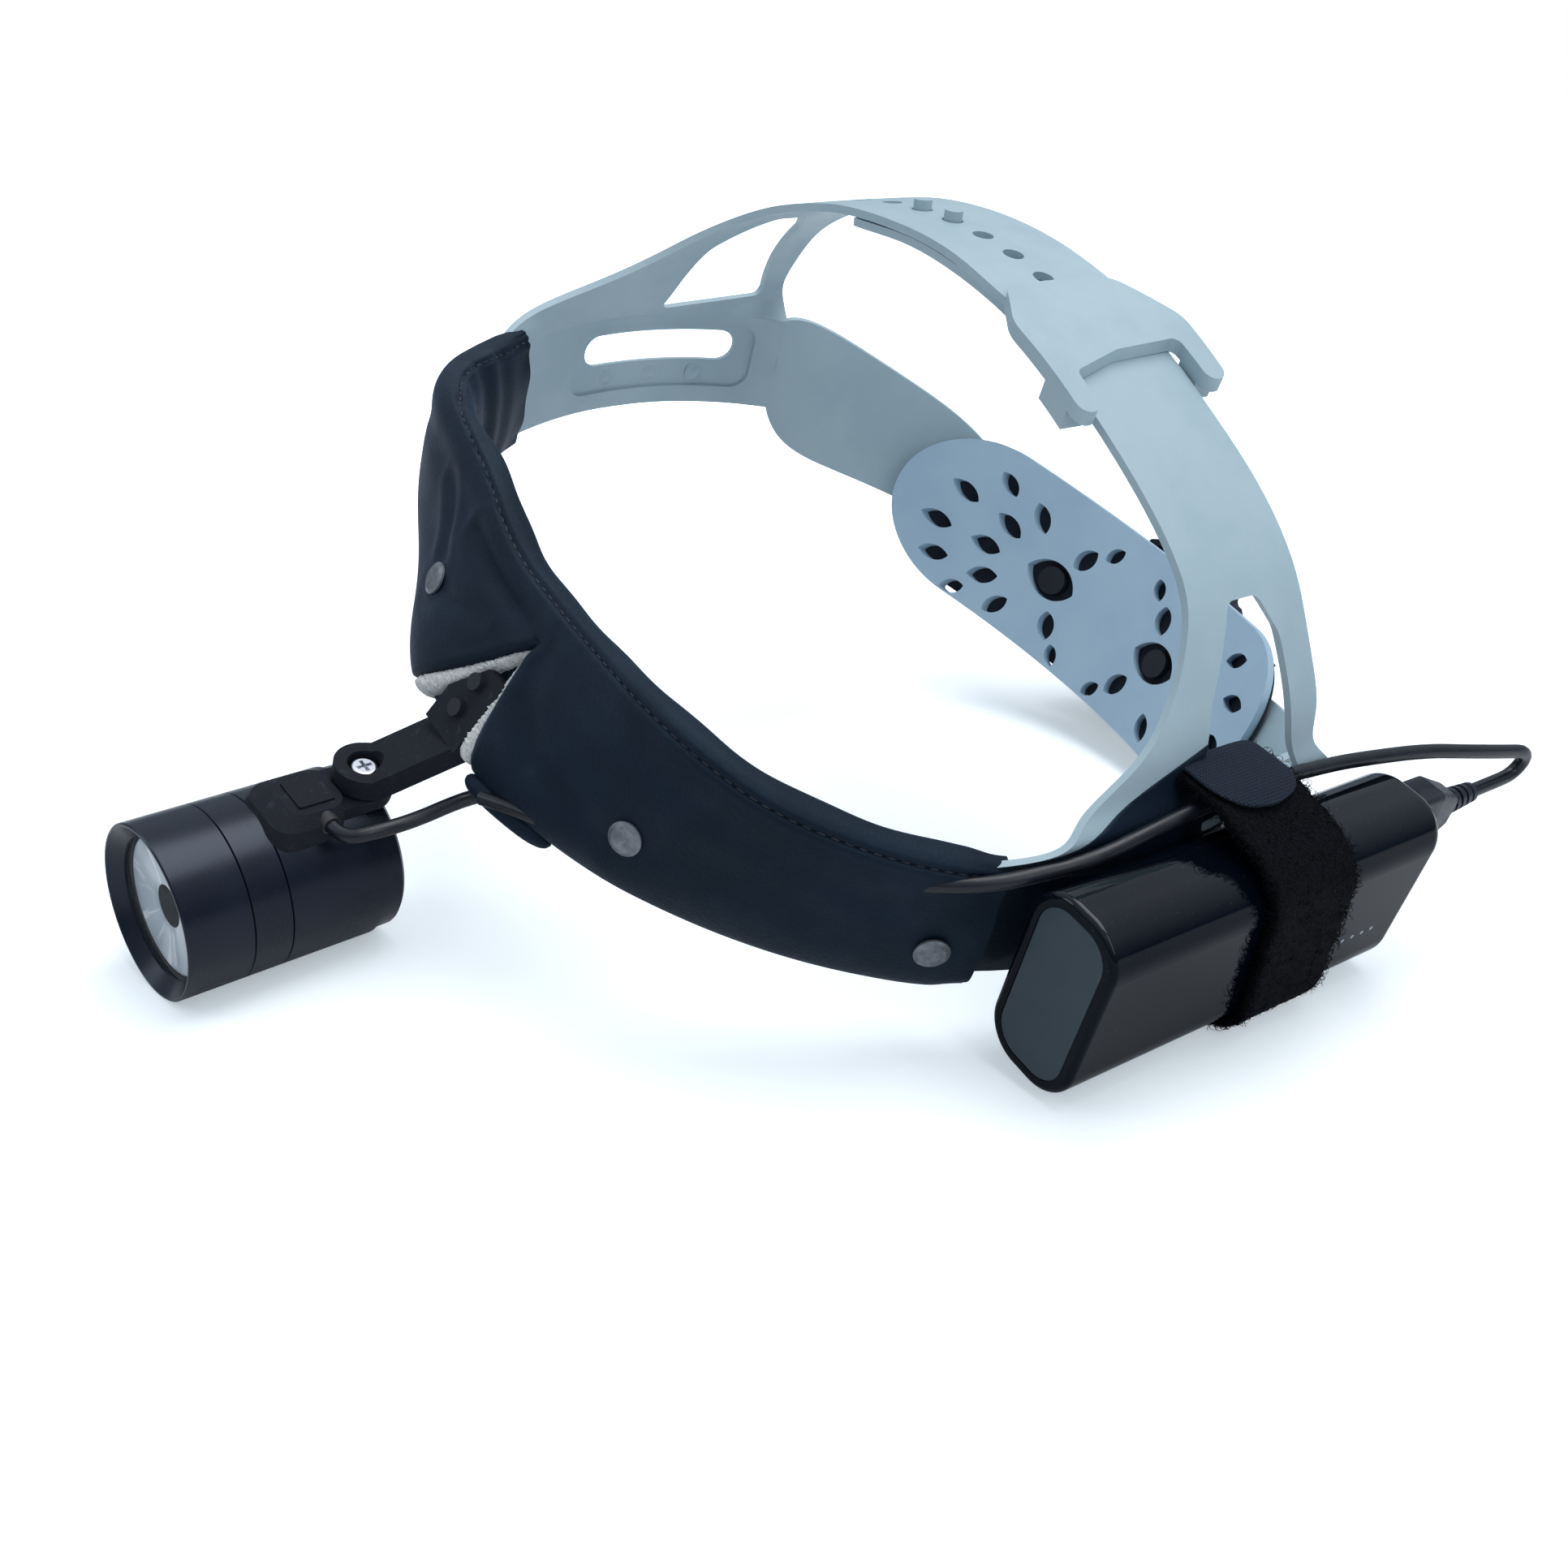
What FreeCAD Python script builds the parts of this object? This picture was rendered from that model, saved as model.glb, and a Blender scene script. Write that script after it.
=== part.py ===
import FreeCAD, Part
import math
import os
import Sketcher
from FreeCAD import Placement, Rotation, Vector

# Head-worn work lamp: a ratchet headgear carries a swivelling spotlight at the brow
# and a pocket power bank on the wearer's left side.
#
# Every piece is worked out in the frame of the head: +X is the wearer's left, +Y is the
# back of the head, +Z is up, and the origin is the middle of the head ring at the lower
# edge of the headband. At the end the whole lamp is tipped over as it rests on a table.

# Driving dimensions, in millimetres and degrees
DIMENSIONS = [
    ("front_radius", 112.0, "headband radius across the brow and across the nape"),
    ("side_radius", 94.9, "headband radius at the sides"),
    ("split_angle", 50.0, "angle of the brow arc on each side of its middle"),
    ("ring_middle", 6.0, "how far back the middle of the oval lies"),
    ("band_thick", 1.8, "wall of the moulded headgear"),
    ("band_height", 27.0, "height of the headband"),
    ("band_reach", 209.0, "length of the headband from the brow to its rear end"),
    ("lean_angle", 34.0, "how far the brow leans back under the lamp"),
    ("lean_reach", 88.0, "length of headband over which the lean dies out"),
    ("far_draw", 6.5, "how far the right of the brow is drawn in, out of true"),
    ("pad_reach", 125.0, "length of the sweatband on each side of the brow"),
    ("pad_drop", 3.0, "how far the sweatband hangs below the headband"),
    ("pad_rise", 11.0, "how far the sweatband stands above the headband at the brow"),
    ("pad_end_rise", 4.0, "how far the sweatband stands above the headband at its ends"),
    ("pad_front", 4.4, "sweatband in front of the headband"),
    ("pad_back", 8.0, "crown of the sweatband behind the headband's face"),
    ("skin_thick", 0.8, "sweatband skin"),
    ("notch_height", 27.0, "height of the notch in the sweatband"),
    ("notch_half", 12.0, "half width of the notch at its mouth"),
    ("notch_slant", 9.5, "tip of the notch, to the side of its mouth"),
    ("plate_side", 2.4, "middle of the arm's plate, to the side"),
    ("snap_radius", 3.65, "press stud cap"),
    ("slot_low", 13.0, "lower edge of the side slot"),
    ("slot_high", 22.0, "upper edge of the side slot"),
    ("slot_front", -8.0, "front end of the side slot"),
    ("slot_rear", 37.0, "rear end of the side slot"),
    ("recess_deep", 0.8, "recess round the side slot"),
    ("crown_radius", 137.0, "crown arch over the head"),
    ("crown_top", 94.0, "height of the crown arch"),
    ("shoulder_radius", 69.7, "crown arch down the sides"),
    ("shoulder_angle", 33.7, "where the crown arch turns down the sides"),
    ("crown_front", 16.0, "front edge of the crown strap"),
    ("crown_width", 32.0, "width of the crown strap"),
    ("layer_gap", 0.2, "gap between the two layers of the crown strap"),
    ("peg_radius", 2.1, "crown strap pegs"),
    ("peg_pitch", 10.4, "spacing of the crown strap holes"),
    ("peg_first", 36.5, "first peg, to the right of the middle"),
    ("plate_raise", 1.2, "keeper plate above the crown strap"),
    ("nape_side", -1.0, "middle of the nape pad, to the side"),
    ("nape_gap", 5.1, "middle of the nape pad, behind the head ring's oval"),
    ("nape_low", -20.0, "middle of the nape pad, above the headband's lower edge"),
    ("nape_lean", 24.6, "lean of the nape pad, top to the rear"),
    ("nape_roll", -3.0, "roll of the nape pad, its right end lower"),
    ("nape_radius", 100.0, "bend of the nape pad's middle"),
    ("pad_half", 75.0, "half length of the nape pad"),
    ("pad_half_height", 23.2, "half height of the nape pad"),
    ("pad_thick", 3.0, "nape pad wall"),
    ("oval_spread", 21.5, "large ovals on each side of the nape pad's middle"),
    ("tail_height", 20.0, "height of a tail in the ratchet"),
    ("tail_thick", 1.4, "tail in the ratchet"),
    ("housing_angle", 25.0, "half angle of the ratchet housing"),
    ("housing_height", 34.0, "height of the ratchet housing"),
    ("housing_wall", 1.6, "wall of the ratchet housing"),
    ("tooth_module", 1.0, "tooth size of pinion and racks"),
    ("pinion_teeth", 12.0, "teeth of the pinion"),
    ("knob_radius", 26.0, "ratchet knob"),
    ("knob_depth", 13.0, "height of the ratchet knob"),
    ("nape_travel", 24.0, "how far the nape pad draws forward"),
    ("lamp_radius", 19.1, "lamp body"),
    ("lamp_length", 49.3, "lamp body"),
    ("bezel_length", 14.0, "screw-on front ring"),
    ("bezel_lip", 15.6, "clear opening of the front ring"),
    ("window_thick", 1.0, "window glass"),
    ("window_deep", 3.2, "depth of the window behind the front ring's face"),
    ("housing_line", 22.6, "groove round the lamp body, from the lamp's face"),
    ("lamp_wall", 2.4, "wall of the lamp body"),
    ("cap_length", 5.5, "rear cap of the lamp"),
    ("lamp_yaw", 6.9, "lamp turned to the wearer's left of straight ahead"),
    ("lamp_side", -3.3, "middle of the lamp, to the side"),
    ("lamp_ahead", 39.5, "middle of the lamp, ahead of the headband"),
    ("lamp_low", -35.0, "middle of the lamp, height"),
    ("box_side", 1.5, "middle of the bracket box beside the lamp's axis"),
    ("box_half", 6.2, "half width of the bracket box at its top"),
    ("box_start", 27.2, "front of the bracket box at its top, from the lamp's face"),
    ("box_end", 39.3, "rear of the bracket box at its top, from the lamp's face"),
    ("box_height", 22.4, "top of the bracket box above the lamp's axis"),
    ("foot_half", 9.5, "half width of the bracket box at its foot"),
    ("foot_start", 18.6, "front of the bracket box at its foot, from the lamp's face"),
    ("swivel_side", 1.2, "swivel screw beside the lamp's axis"),
    ("swivel_place", 46.4, "swivel screw from the lamp's face"),
    ("swivel_radius", 1.5, "swivel screw shank"),
    ("arm_half", 6.5, "half width of the lamp arm"),
    ("arm_thick", 4.8, "lamp arm"),
    ("arm_slope", 35.6, "slope of the lamp arm"),
    ("running_gap", 0.1, "clearance of pieces that turn or slide"),
    ("fit_gap", 0.2, "clearance of pieces that only fit"),
    ("bank_thick", 22.5, "power bank thickness"),
    ("bank_length", 97.0, "power bank length"),
    ("bank_height", 43.0, "power bank height"),
    ("bank_corner", 9.0, "corner radius of the power bank"),
    ("bank_wall", 1.5, "wall of the power bank"),
    ("bank_gap", 1.54, "gap between the headband and the power bank"),
    ("bank_back", 16.6, "middle of the power bank, to the rear"),
    ("bank_up", 14.4, "middle of the power bank, height"),
    ("bank_roll", -3.4, "roll of the power bank against the head"),
    ("end_cap", 4.0, "end caps of the power bank"),
    ("cell_radius", 9.1, "battery cell"),
    ("cell_length", 65.0, "battery cell"),
    ("port_side", -2.5, "usb port off the bank's middle plane"),
    ("port_up", 7.5, "usb port above the bank's middle"),
    ("button_travel", 0.6, "press of the charge button"),
    ("strap_front", 15.2, "front edge of the hook-and-loop strap"),
    ("strap_width", 25.0, "width of the hook-and-loop strap"),
    ("strap_thick", 2.2, "thickness of the hook-and-loop strap"),
    ("cable_radius", 1.6, "cable"),
    ("rest_tilt", 20.4, "how far the headgear tips to its right at rest"),
    ("rest_pitch", 0.82, "how far the headgear tips back at rest"),
]

doc = FreeCAD.newDocument("HeadLamp")
sheet = doc.addObject("Spreadsheet::Sheet", "Sheet")
for row, (alias, number, note) in enumerate(DIMENSIONS, start=1):
    sheet.set(f"A{row}", note)
    sheet.set(f"B{row}", str(number))
    sheet.setAlias(f"B{row}", alias)
doc.recompute()


class Size:
    """A size as a number together with the formula that gives it in the sheet's words."""

    def __init__(self, value, text):
        self.value = value
        self.text = text

    def __add__(self, other):
        other = as_size(other)
        return Size(self.value + other.value, f"({self.text} + {other.text})")

    def __sub__(self, other):
        other = as_size(other)
        return Size(self.value - other.value, f"({self.text} - {other.text})")

    def __mul__(self, other):
        other = as_size(other)
        return Size(self.value * other.value, f"({self.text} * {other.text})")

    def __truediv__(self, other):
        other = as_size(other)
        return Size(self.value / other.value, f"({self.text} / {other.text})")

    def __neg__(self):
        return Size(-self.value, f"(0 - {self.text})")

    def __radd__(self, other):
        return as_size(other) + self

    def __rsub__(self, other):
        return as_size(other) - self

    def __rmul__(self, other):
        return as_size(other) * self

    def __float__(self):
        return self.value


def as_size(number):
    """A plain number as a Size."""
    return number if isinstance(number, Size) else Size(float(number), repr(float(number)))


def size(alias):
    """The sheet's dimension of that name, for use in sizes that are bound to it."""
    return Size(float(getattr(sheet, alias)), f"Sheet.{alias}")


def num(alias):
    """The sheet's dimension of that name as a plain number."""
    return float(getattr(sheet, alias))


# Pieces and their places
pieces = {}


def keep(node, obj, place=None):
    """Label an object as a sub-part and put it in its place in the head's frame."""
    obj.Label = node
    if place is not None:
        obj.Placement = place
    pieces[node] = obj
    return obj


def shaped(node, shape, place=None):
    """A sub-part whose shape is worked out here."""
    obj = doc.addObject("Part::Feature", node)
    obj.Shape = shape
    return keep(node, obj, place)


def bind(obj, prop, amount):
    """Set a property and tie it to the sheet."""
    amount = as_size(amount)
    setattr(obj, prop, amount.value)
    obj.setExpression(prop, amount.text)


def new_body(node):
    """An empty body for one sub-part."""
    body = doc.addObject("PartDesign::Body", node)
    body.Label = node
    return body


def sketch_on(body, role, lift=0.0):
    """An empty sketch on one of the body's origin planes, lifted along the plane's normal."""
    flat = body.newObject("Sketcher::SketchObject", "Sketch")
    plane = [item for item in body.Origin.OriginFeatures if item.Role == role][0]
    flat.AttachmentSupport = (plane, [""])
    flat.MapMode = "FlatFace"
    lift = as_size(lift)
    flat.AttachmentOffset = Placement(Vector(0, 0, lift.value), Rotation())
    flat.setExpression("AttachmentOffset.Base.z", lift.text)
    return flat


def pin_point(flat, line, end, x, y):
    """Hold one end of a sketch line at a place given by two sizes."""
    for kind, amount in (("DistanceX", as_size(x)), ("DistanceY", as_size(y))):
        if amount.value == 0.0 and "Sheet" not in amount.text:
            axis = -2 if kind == "DistanceX" else -1
            flat.addConstraint(Sketcher.Constraint("PointOnObject", line, end, axis))
            continue
        index = flat.addConstraint(Sketcher.Constraint(kind, line, end, amount.value))
        flat.setExpression(f"Constraints[{index}]", amount.text)


def draw_outline(flat, points):
    """A closed outline of straight lines through points given as pairs of sizes."""
    count = len(points)
    spots = [Vector(float(x), float(y), 0) for x, y in points]
    first = flat.GeometryCount
    for index in range(count):
        flat.addGeometry(Part.LineSegment(spots[index], spots[(index + 1) % count]), False)
    for index in range(count):
        after = first + (index + 1) % count
        flat.addConstraint(Sketcher.Constraint("Coincident", first + index, 2, after, 1))
        pin_point(flat, first + index, 1, *points[index])


def turn(body, points):
    """A ring or disc turned about the body's Y axis from (radius, along) points."""
    flat = sketch_on(body, "XY_Plane")
    draw_outline(flat, points)
    solid = body.newObject("PartDesign::Revolution", "Revolution")
    solid.Profile = flat
    solid.ReferenceAxis = (flat, ["V_Axis"])
    solid.Angle = 360.0
    return solid


def turned(node, points, place):
    """A sub-part that is one turned ring or disc, about its own Y axis."""
    body = new_body(node)
    turn(body, points)
    return keep(node, body, place)


def block(x0, x1, y0, y1, z0, z1):
    """A plain box between two corners."""
    return Part.makeBox(x1 - x0, y1 - y0, z1 - z0, Vector(x0, y0, z0))


def rounded_wire(points, radii):
    """A closed wire through points in one plane, each corner rounded by its own radius."""
    edges = []
    count = len(points)
    ends = []
    for index in range(count):
        back = points[index - 1] - points[index]
        ahead = points[(index + 1) % count] - points[index]
        back.normalize()
        ahead.normalize()
        radius = radii[index] if isinstance(radii, (list, tuple)) else radii
        if radius == 0:
            ends.append((points[index], None, points[index]))
            continue
        half = back.getAngle(ahead) / 2
        reach = radius / math.tan(half)
        bisector = (back + ahead).normalize()
        middle = points[index] + bisector * (radius / math.sin(half) - radius)
        ends.append((points[index] + back * reach, middle, points[index] + ahead * reach))
    for index in range(count):
        start, middle, stop = ends[index]
        if middle is not None:
            edges.append(Part.Arc(start, middle, stop).toShape())
        following = ends[(index + 1) % count][0]
        if (following - stop).Length > 1e-6:
            edges.append(Part.LineSegment(stop, following).toShape())
    return Part.Wire(edges)


def slab(wire, direction):
    """The solid that a closed flat wire sweeps along a straight direction."""
    return Part.Face(wire).extrude(direction)


def rod(start, direction, radius, length):
    """A round rod from a point along a direction."""
    return Part.makeCylinder(radius, length, start, direction)


def cable_path(route):
    """Straight runs joined by tangent arcs, each arc as large as its two runs allow."""
    edges = []
    radii = []
    spot = route[0]
    for before, corner, after in zip(route, route[1:], route[2:]):
        inward, outward = (before - corner), (after - corner)
        shorter = min(inward.Length, outward.Length)
        inward.normalize()
        outward.normalize()
        bend = math.pi - inward.getAngle(outward)
        reach = 0.45 * shorter
        radius = reach / math.tan(bend / 2)
        radii.append(radius)
        enter, leave = corner + inward * reach, corner + outward * reach
        half = (math.pi - bend) / 2
        middle = corner + (inward + outward).normalize() * (radius / math.sin(half) - radius)
        edges.append(Part.LineSegment(spot, enter).toShape())
        edges.append(Part.Arc(enter, middle, leave).toShape())
        spot = leave
    edges.append(Part.LineSegment(spot, route[-1]).toShape())
    return Part.Wire(edges), radii


def cable_tube(node, route, radius, report=True):
    """A round tube along a cable's route; prints its bends and compares its volume."""
    wire, radii = cable_path(route)
    direction = route[1] - route[0]
    ring = Part.Wire([Part.Circle(route[0], direction, radius).toShape()])
    tube = wire.makePipeShell([ring], True, False)
    if report:
        expected = math.pi * radius ** 2 * wire.Length
        print(f"{node}: length {wire.Length:.1f} mm, least bend {min(radii):.1f} mm, "
              f"volume ratio {tube.Volume / expected:.4f}")
    return tube


def loft(wires, ruled=False):
    """A solid through closed wires."""
    return Part.makeLoft(wires, True, ruled)


# Head ring: the plan of the headband as an oval of four arcs
SIDES = (1, -1)
front_radius = num("front_radius")
side_radius = num("side_radius")
split = math.radians(num("split_angle"))
front_arc = front_radius * split
side_turn = math.pi / 2 - split
side_arc = side_radius * 2 * side_turn
side_middle_x = (front_radius - side_radius) * math.sin(split)
side_middle_y = num("ring_middle")
front_middle_y = side_middle_y + (front_radius - side_radius) * math.cos(split)
band_thick = num("band_thick")
band_height = num("band_height")
band_reach = num("band_reach")
gap = num("fit_gap")
run_gap = num("running_gap")


# Stretch on the wearer's right over which the brow is drawn in
FAR_START, FAR_END = 6.0, 102.0


def plan(along):
    """Point and outward normal of the headband's outer face, by length from the brow's middle."""
    side = 1 if along >= 0 else -1
    length = abs(along)
    if length < front_arc:
        angle = length / front_radius
        x = front_radius * math.sin(angle)
        y = front_middle_y - front_radius * math.cos(angle)
        nx, ny = math.sin(angle), -math.cos(angle)
    else:
        angle = -side_turn + (length - front_arc) / side_radius
        x = side_middle_x + side_radius * math.cos(angle)
        y = side_middle_y + side_radius * math.sin(angle)
        nx, ny = math.cos(angle), math.sin(angle)
    spot, normal = Vector(side * x, y, 0), Vector(side * nx, ny, 0)
    if -FAR_END < along < -FAR_START:
        share = (length - FAR_START) / (FAR_END - FAR_START)
        spot -= normal * num("far_draw") * math.sin(math.pi * share) ** 2
    return spot, normal


def along_at(y):
    """Length from the brow's middle at which the side of the headband reaches this y."""
    angle = math.asin((y - side_middle_y) / side_radius)
    return front_arc + (angle + side_turn) * side_radius


def side_x(y, inward=0.0):
    """Distance of the headband's side from the middle plane at this y."""
    return side_middle_x + math.sqrt((side_radius - inward) ** 2 - (y - side_middle_y) ** 2)


def lean(along):
    """How far the headband leans back at this length from the brow."""
    share = min(abs(along) / num("lean_reach"), 1.0)
    return math.radians(num("lean_angle")) * math.cos(math.pi / 2 * share) ** 2


def on_band(along, height, out):
    """A point at a height up the leaning headband and a distance outward of its face."""
    spot, normal = plan(along)
    tip = lean(along)
    up = Vector(0, 0, math.cos(tip)) - normal * math.sin(tip)
    face = normal * math.cos(tip) + Vector(0, 0, math.sin(tip))
    return spot + up * height + face * out


def face_normal(along):
    """Outward normal of the leaning headband."""
    return (on_band(along, 0, 1) - on_band(along, 0, 0)).normalize()


def quad(along, low, high, inner, outer):
    """A four-sided section of the headband at one length from the brow."""
    corners = [on_band(along, low, outer), on_band(along, high, outer),
               on_band(along, high, inner), on_band(along, low, inner)]
    return Part.makePolygon(corners + [corners[0]])


def stations(start, stop, step):
    """Evenly spaced lengths from start to stop, about a step apart."""
    count = max(2, round(abs(stop - start) / step))
    return [start + (stop - start) * index / count for index in range(count + 1)]


def pad_rise(along):
    """How far the sweatband stands above the headband: full at the brow, less at the ends."""
    share = min(max((abs(along) - 50.0) / (num("pad_reach") - 50.0), 0.0), 1.0)
    return num("pad_rise") + (num("pad_end_rise") - num("pad_rise")) * share * share * (3 - 2 * share)


def pad_depth(along):
    """Crown of the sweatband behind the headband, drawn in over its last stretch."""
    share = min(max((abs(along) - num("pad_reach") + 22.0) / 22.0, 0.0), 1.0)
    return num("pad_back") - 2.6 * share * share


def cushion_section(along, shrink):
    """Section of the sweatband: flat in front, crowned behind, rounded top and bottom."""
    low = -num("pad_drop") + shrink
    high = band_height + pad_rise(along) - shrink
    front = num("pad_front") - shrink
    back = -pad_depth(along) + shrink
    draw = back + 2.6
    middle = (low + high) / 2
    flat = Part.LineSegment(on_band(along, low + 2.0, front), on_band(along, high - 2.0, front))
    top = Part.Arc(on_band(along, high - 2.0, front), on_band(along, high, (front + draw) / 2),
                   on_band(along, high - 2.6, draw))
    crown = Part.Arc(on_band(along, high - 2.6, draw), on_band(along, middle, back),
                     on_band(along, low + 2.6, draw))
    base = Part.Arc(on_band(along, low + 2.6, draw), on_band(along, low, (front + draw) / 2),
                    on_band(along, low + 2.0, front))
    return Part.Wire([edge.toShape() for edge in (flat, top, crown, base)])


def notch_prism(shrink, low, high):
    """The wedge cut from the sweatband at the brow, narrowed by a margin on each side."""
    tall = num("notch_height")
    half = num("notch_half")
    mouth = -num("pad_drop") - 1.0

    def half_at(height):
        return half * (tall - height) / (tall - mouth) - shrink

    corners = []
    for side, height in ((1, low), (1, high), (-1, high), (-1, low)):
        spot = on_band(0, height, -14)
        middle = num("notch_slant") * (height - mouth) / (tall - mouth)
        spot.x = middle + side * max(half_at(height), 0.05)
        corners.append(spot)
    return slab(Part.makePolygon(corners + [corners[0]]), face_normal(0) * 28)


# Headband with its side plates

band_stations = stations(-band_reach, band_reach, 13.0)
headband_shape = loft([quad(along, 0, band_height, -band_thick, 0) for along in band_stations])
slot_middle = (num("slot_low") + num("slot_high")) / 2
slot_round = (num("slot_high") - num("slot_low")) / 2
for side in SIDES:
    reach = Vector(side * 30, 0, 0)
    start_x = side * (side_radius - 5)
    window = rounded_wire([Vector(start_x, num("slot_front"), num("slot_low")),
                           Vector(start_x, num("slot_rear"), num("slot_low")),
                           Vector(start_x, num("slot_rear"), num("slot_high")),
                           Vector(start_x, num("slot_front"), num("slot_high"))], slot_round * 0.98)
    rim_low = num("slot_low") - 8
    rim_high = num("slot_high") + 2.5
    rim = rounded_wire([Vector(start_x, num("slot_front") - 4, rim_low),
                        Vector(start_x, num("slot_rear") + 5, rim_low),
                        Vector(start_x, num("slot_rear") + 5, rim_high),
                        Vector(start_x, num("slot_front") - 4, rim_high)], 5.0)
    inner_radius = side_radius - band_thick + num("recess_deep")
    inside = Part.makeCylinder(inner_radius, band_height + 2,
                               Vector(side * side_middle_x, side_middle_y, -1))
    recess = slab(rim, reach).common(inside)
    for index in range(3):
        y = num("slot_front") + 8 + index * 14
        x = side * side_x(y, band_thick - num("recess_deep"))
        stud = Part.makeCone(3.4, 0.8, num("recess_deep") * 1.5, Vector(x + side * 0.5, y, rim_low + 4),
                             Vector(-side, 0, 0))
        recess = recess.cut(stud)
    headband_shape = headband_shape.cut(recess)
    headband_shape = headband_shape.cut(slab(window, reach))

# Holes for the press studs and for the arm's screws
snap_spots = [(54.0, 11.0), (115.0, 10.0), (-31.0, 14.0), (-108.0, 11.0)]
stud_radius = 1.2
for along, height in snap_spots:
    hole = rod(on_band(along, height, -4), face_normal(along), stud_radius + gap, 8)
    headband_shape = headband_shape.cut(hole)
arm_screw_heights = (5.0, 12.0)
arm_screw_radius = 1.0
arm_shift = Vector(num("plate_side"), 0, 0)
for height in arm_screw_heights:
    hole = rod(on_band(0, height, -4) + arm_shift, face_normal(0), arm_screw_radius + gap, 8)
    headband_shape = headband_shape.cut(hole)
shaped("headband", headband_shape)

# Sweatband: felt core in a stitched skin, notched at the brow

pad_reach = num("pad_reach")
skin = num("skin_thick")
pad_stations = stations(-pad_reach, pad_reach, 15.0)
cover_outside = loft([cushion_section(along, 0) for along in pad_stations])
hollow_stations = stations(-pad_reach - 4, pad_reach + 4, 15.0)
cover_inside = loft([cushion_section(along, skin) for along in hollow_stations])
cover_shape = cover_outside.cut(cover_inside)
notch = notch_prism(0, -num("pad_drop") - 2.0, num("notch_height"))
cover_shape = cover_shape.cut(notch)

felt_shape = loft([cushion_section(along, skin + gap) for along in hollow_stations])
for side in SIDES:
    past_end = stations(pad_reach - 1.5, pad_reach + 9, 5.0)
    felt_shape = felt_shape.cut(loft([quad(side * along, -20, 60, -20, 20) for along in past_end]))
room_stations = [along for along in band_stations if abs(along) < pad_reach + 12]
band_room = loft([quad(along, -num("pad_drop") - 4, band_height + gap, -band_thick - gap, gap)
                  for along in room_stations])
felt_shape = felt_shape.cut(band_room).cut(notch)
leg_start = 107.0
for side in SIDES:
    leg_room = loft([quad(side * along, band_height - 1.0, band_height + 20, -band_thick - 1.6, 1.8)
                     for along in stations(leg_start, pad_reach + 6, 8.0)])
    felt_shape = felt_shape.cut(leg_room)
    cover_shape = cover_shape.cut(leg_room)

# Held cable inside the sweatband: from its lower edge at the brow to its upper edge at the side
cable_radius = num("cable_radius")
cable_out = gap + cable_radius + 0.1
held_run = [(19.5, -4.6), (27.0, -1.6), (40.0, 2.4), (54.0, 5.2), (67.0, 9.6), (80.0, 14.8),
            (94.0, 20.0), (108.0, 24.4), (121.0, 28.6)]
held_route = [on_band(along, height, cable_out) for along, height in held_run]
held_route[-1] = on_band(121.0, 28.6, cable_out + 2.3)
beside_band = [(3.03, -19.0, 33.4), (0.75, -5.0, 36.6), (-0.32, 10.0, 38.4), (1.72, 26.0, 38.8),
               (6.0, 40.6, 37.6)]
held_route += [Vector(side_x(y) + out, y, height) for out, y, height in beside_band]
side_cable = cable_tube("cable_side", held_route, cable_radius)
cable_room = cable_tube("cable_room", held_route[:11], cable_radius + gap, report=False)
felt_shape = felt_shape.cut(cable_room)
cover_shape = cover_shape.cut(cable_room)

for along, height in snap_spots:
    start = on_band(along, height, 0)
    felt_shape = felt_shape.cut(rod(start, face_normal(along), num("snap_radius") + gap, 4))
    back = on_band(along, height, -band_thick)
    felt_shape = felt_shape.cut(rod(back, -face_normal(along), 2.4, 1.6))
    cover_shape = cover_shape.cut(rod(start, face_normal(along), stud_radius + gap, 8))
shaped("sweatband_cover", cover_shape)
shaped("sweatband_foam", felt_shape)
shaped("cable_side", side_cable)

# Press studs: a cap through the skin into a socket on the headband
caps = []
sockets = []
for along, height in snap_spots:
    normal = face_normal(along)
    face = num("pad_front")
    cap = rod(on_band(along, height, face + 0.4), normal, num("snap_radius"), 0.5)
    dome = Part.makeCone(num("snap_radius"), num("snap_radius") - 1.0, 0.6,
                         on_band(along, height, face + 0.9), normal)
    stem = rod(on_band(along, height, 1.2), normal, stud_radius, face - 0.6)
    caps.append(cap.fuse([dome, stem]).removeSplitter())
    base = rod(on_band(along, height, 0.3), normal, num("snap_radius") - 0.4, 0.8)
    collar = rod(on_band(along, height, 1.1), normal, stud_radius + 1.1, 2.1)
    rivet = rod(on_band(along, height, -band_thick - 0.9), normal, stud_radius, band_thick + 1.3)
    head = rod(on_band(along, height, -band_thick - 1.1), normal, 2.1, 0.8)
    bore = rod(on_band(along, height, 1.15), normal, stud_radius, 4)
    sockets.append(base.fuse([collar, rivet, head]).cut(bore).removeSplitter())
shaped("snap_caps", Part.makeCompound(caps))
shaped("snap_sockets", Part.makeCompound(sockets))

# Crown straps: an arch over the head in two overlapping halves

crown_radius = num("crown_radius")
crown_middle_z = num("crown_top") - crown_radius
shoulder = math.radians(num("shoulder_angle"))
shoulder_radius = num("shoulder_radius")
shoulder_x = (crown_radius - shoulder_radius) * math.sin(shoulder)
shoulder_z = crown_middle_z + (crown_radius - shoulder_radius) * math.cos(shoulder)
crown_front = num("crown_front")
crown_rear = crown_front + num("crown_width")


def arch(angle, depth):
    """Point of the crown arch at an angle from the top, a depth below its outer face."""
    if abs(angle) <= shoulder:
        radius = crown_radius - depth
        return radius * math.sin(angle), crown_middle_z + radius * math.cos(angle)
    side = 1 if angle > 0 else -1
    radius = shoulder_radius - depth
    return (side * shoulder_x + radius * math.sin(angle),
            shoulder_z + radius * math.cos(angle))


def arch_angle(x):
    """Angle from the top at which the crown arch's outer face reaches this x."""
    return math.asin(x / crown_radius)


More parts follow.
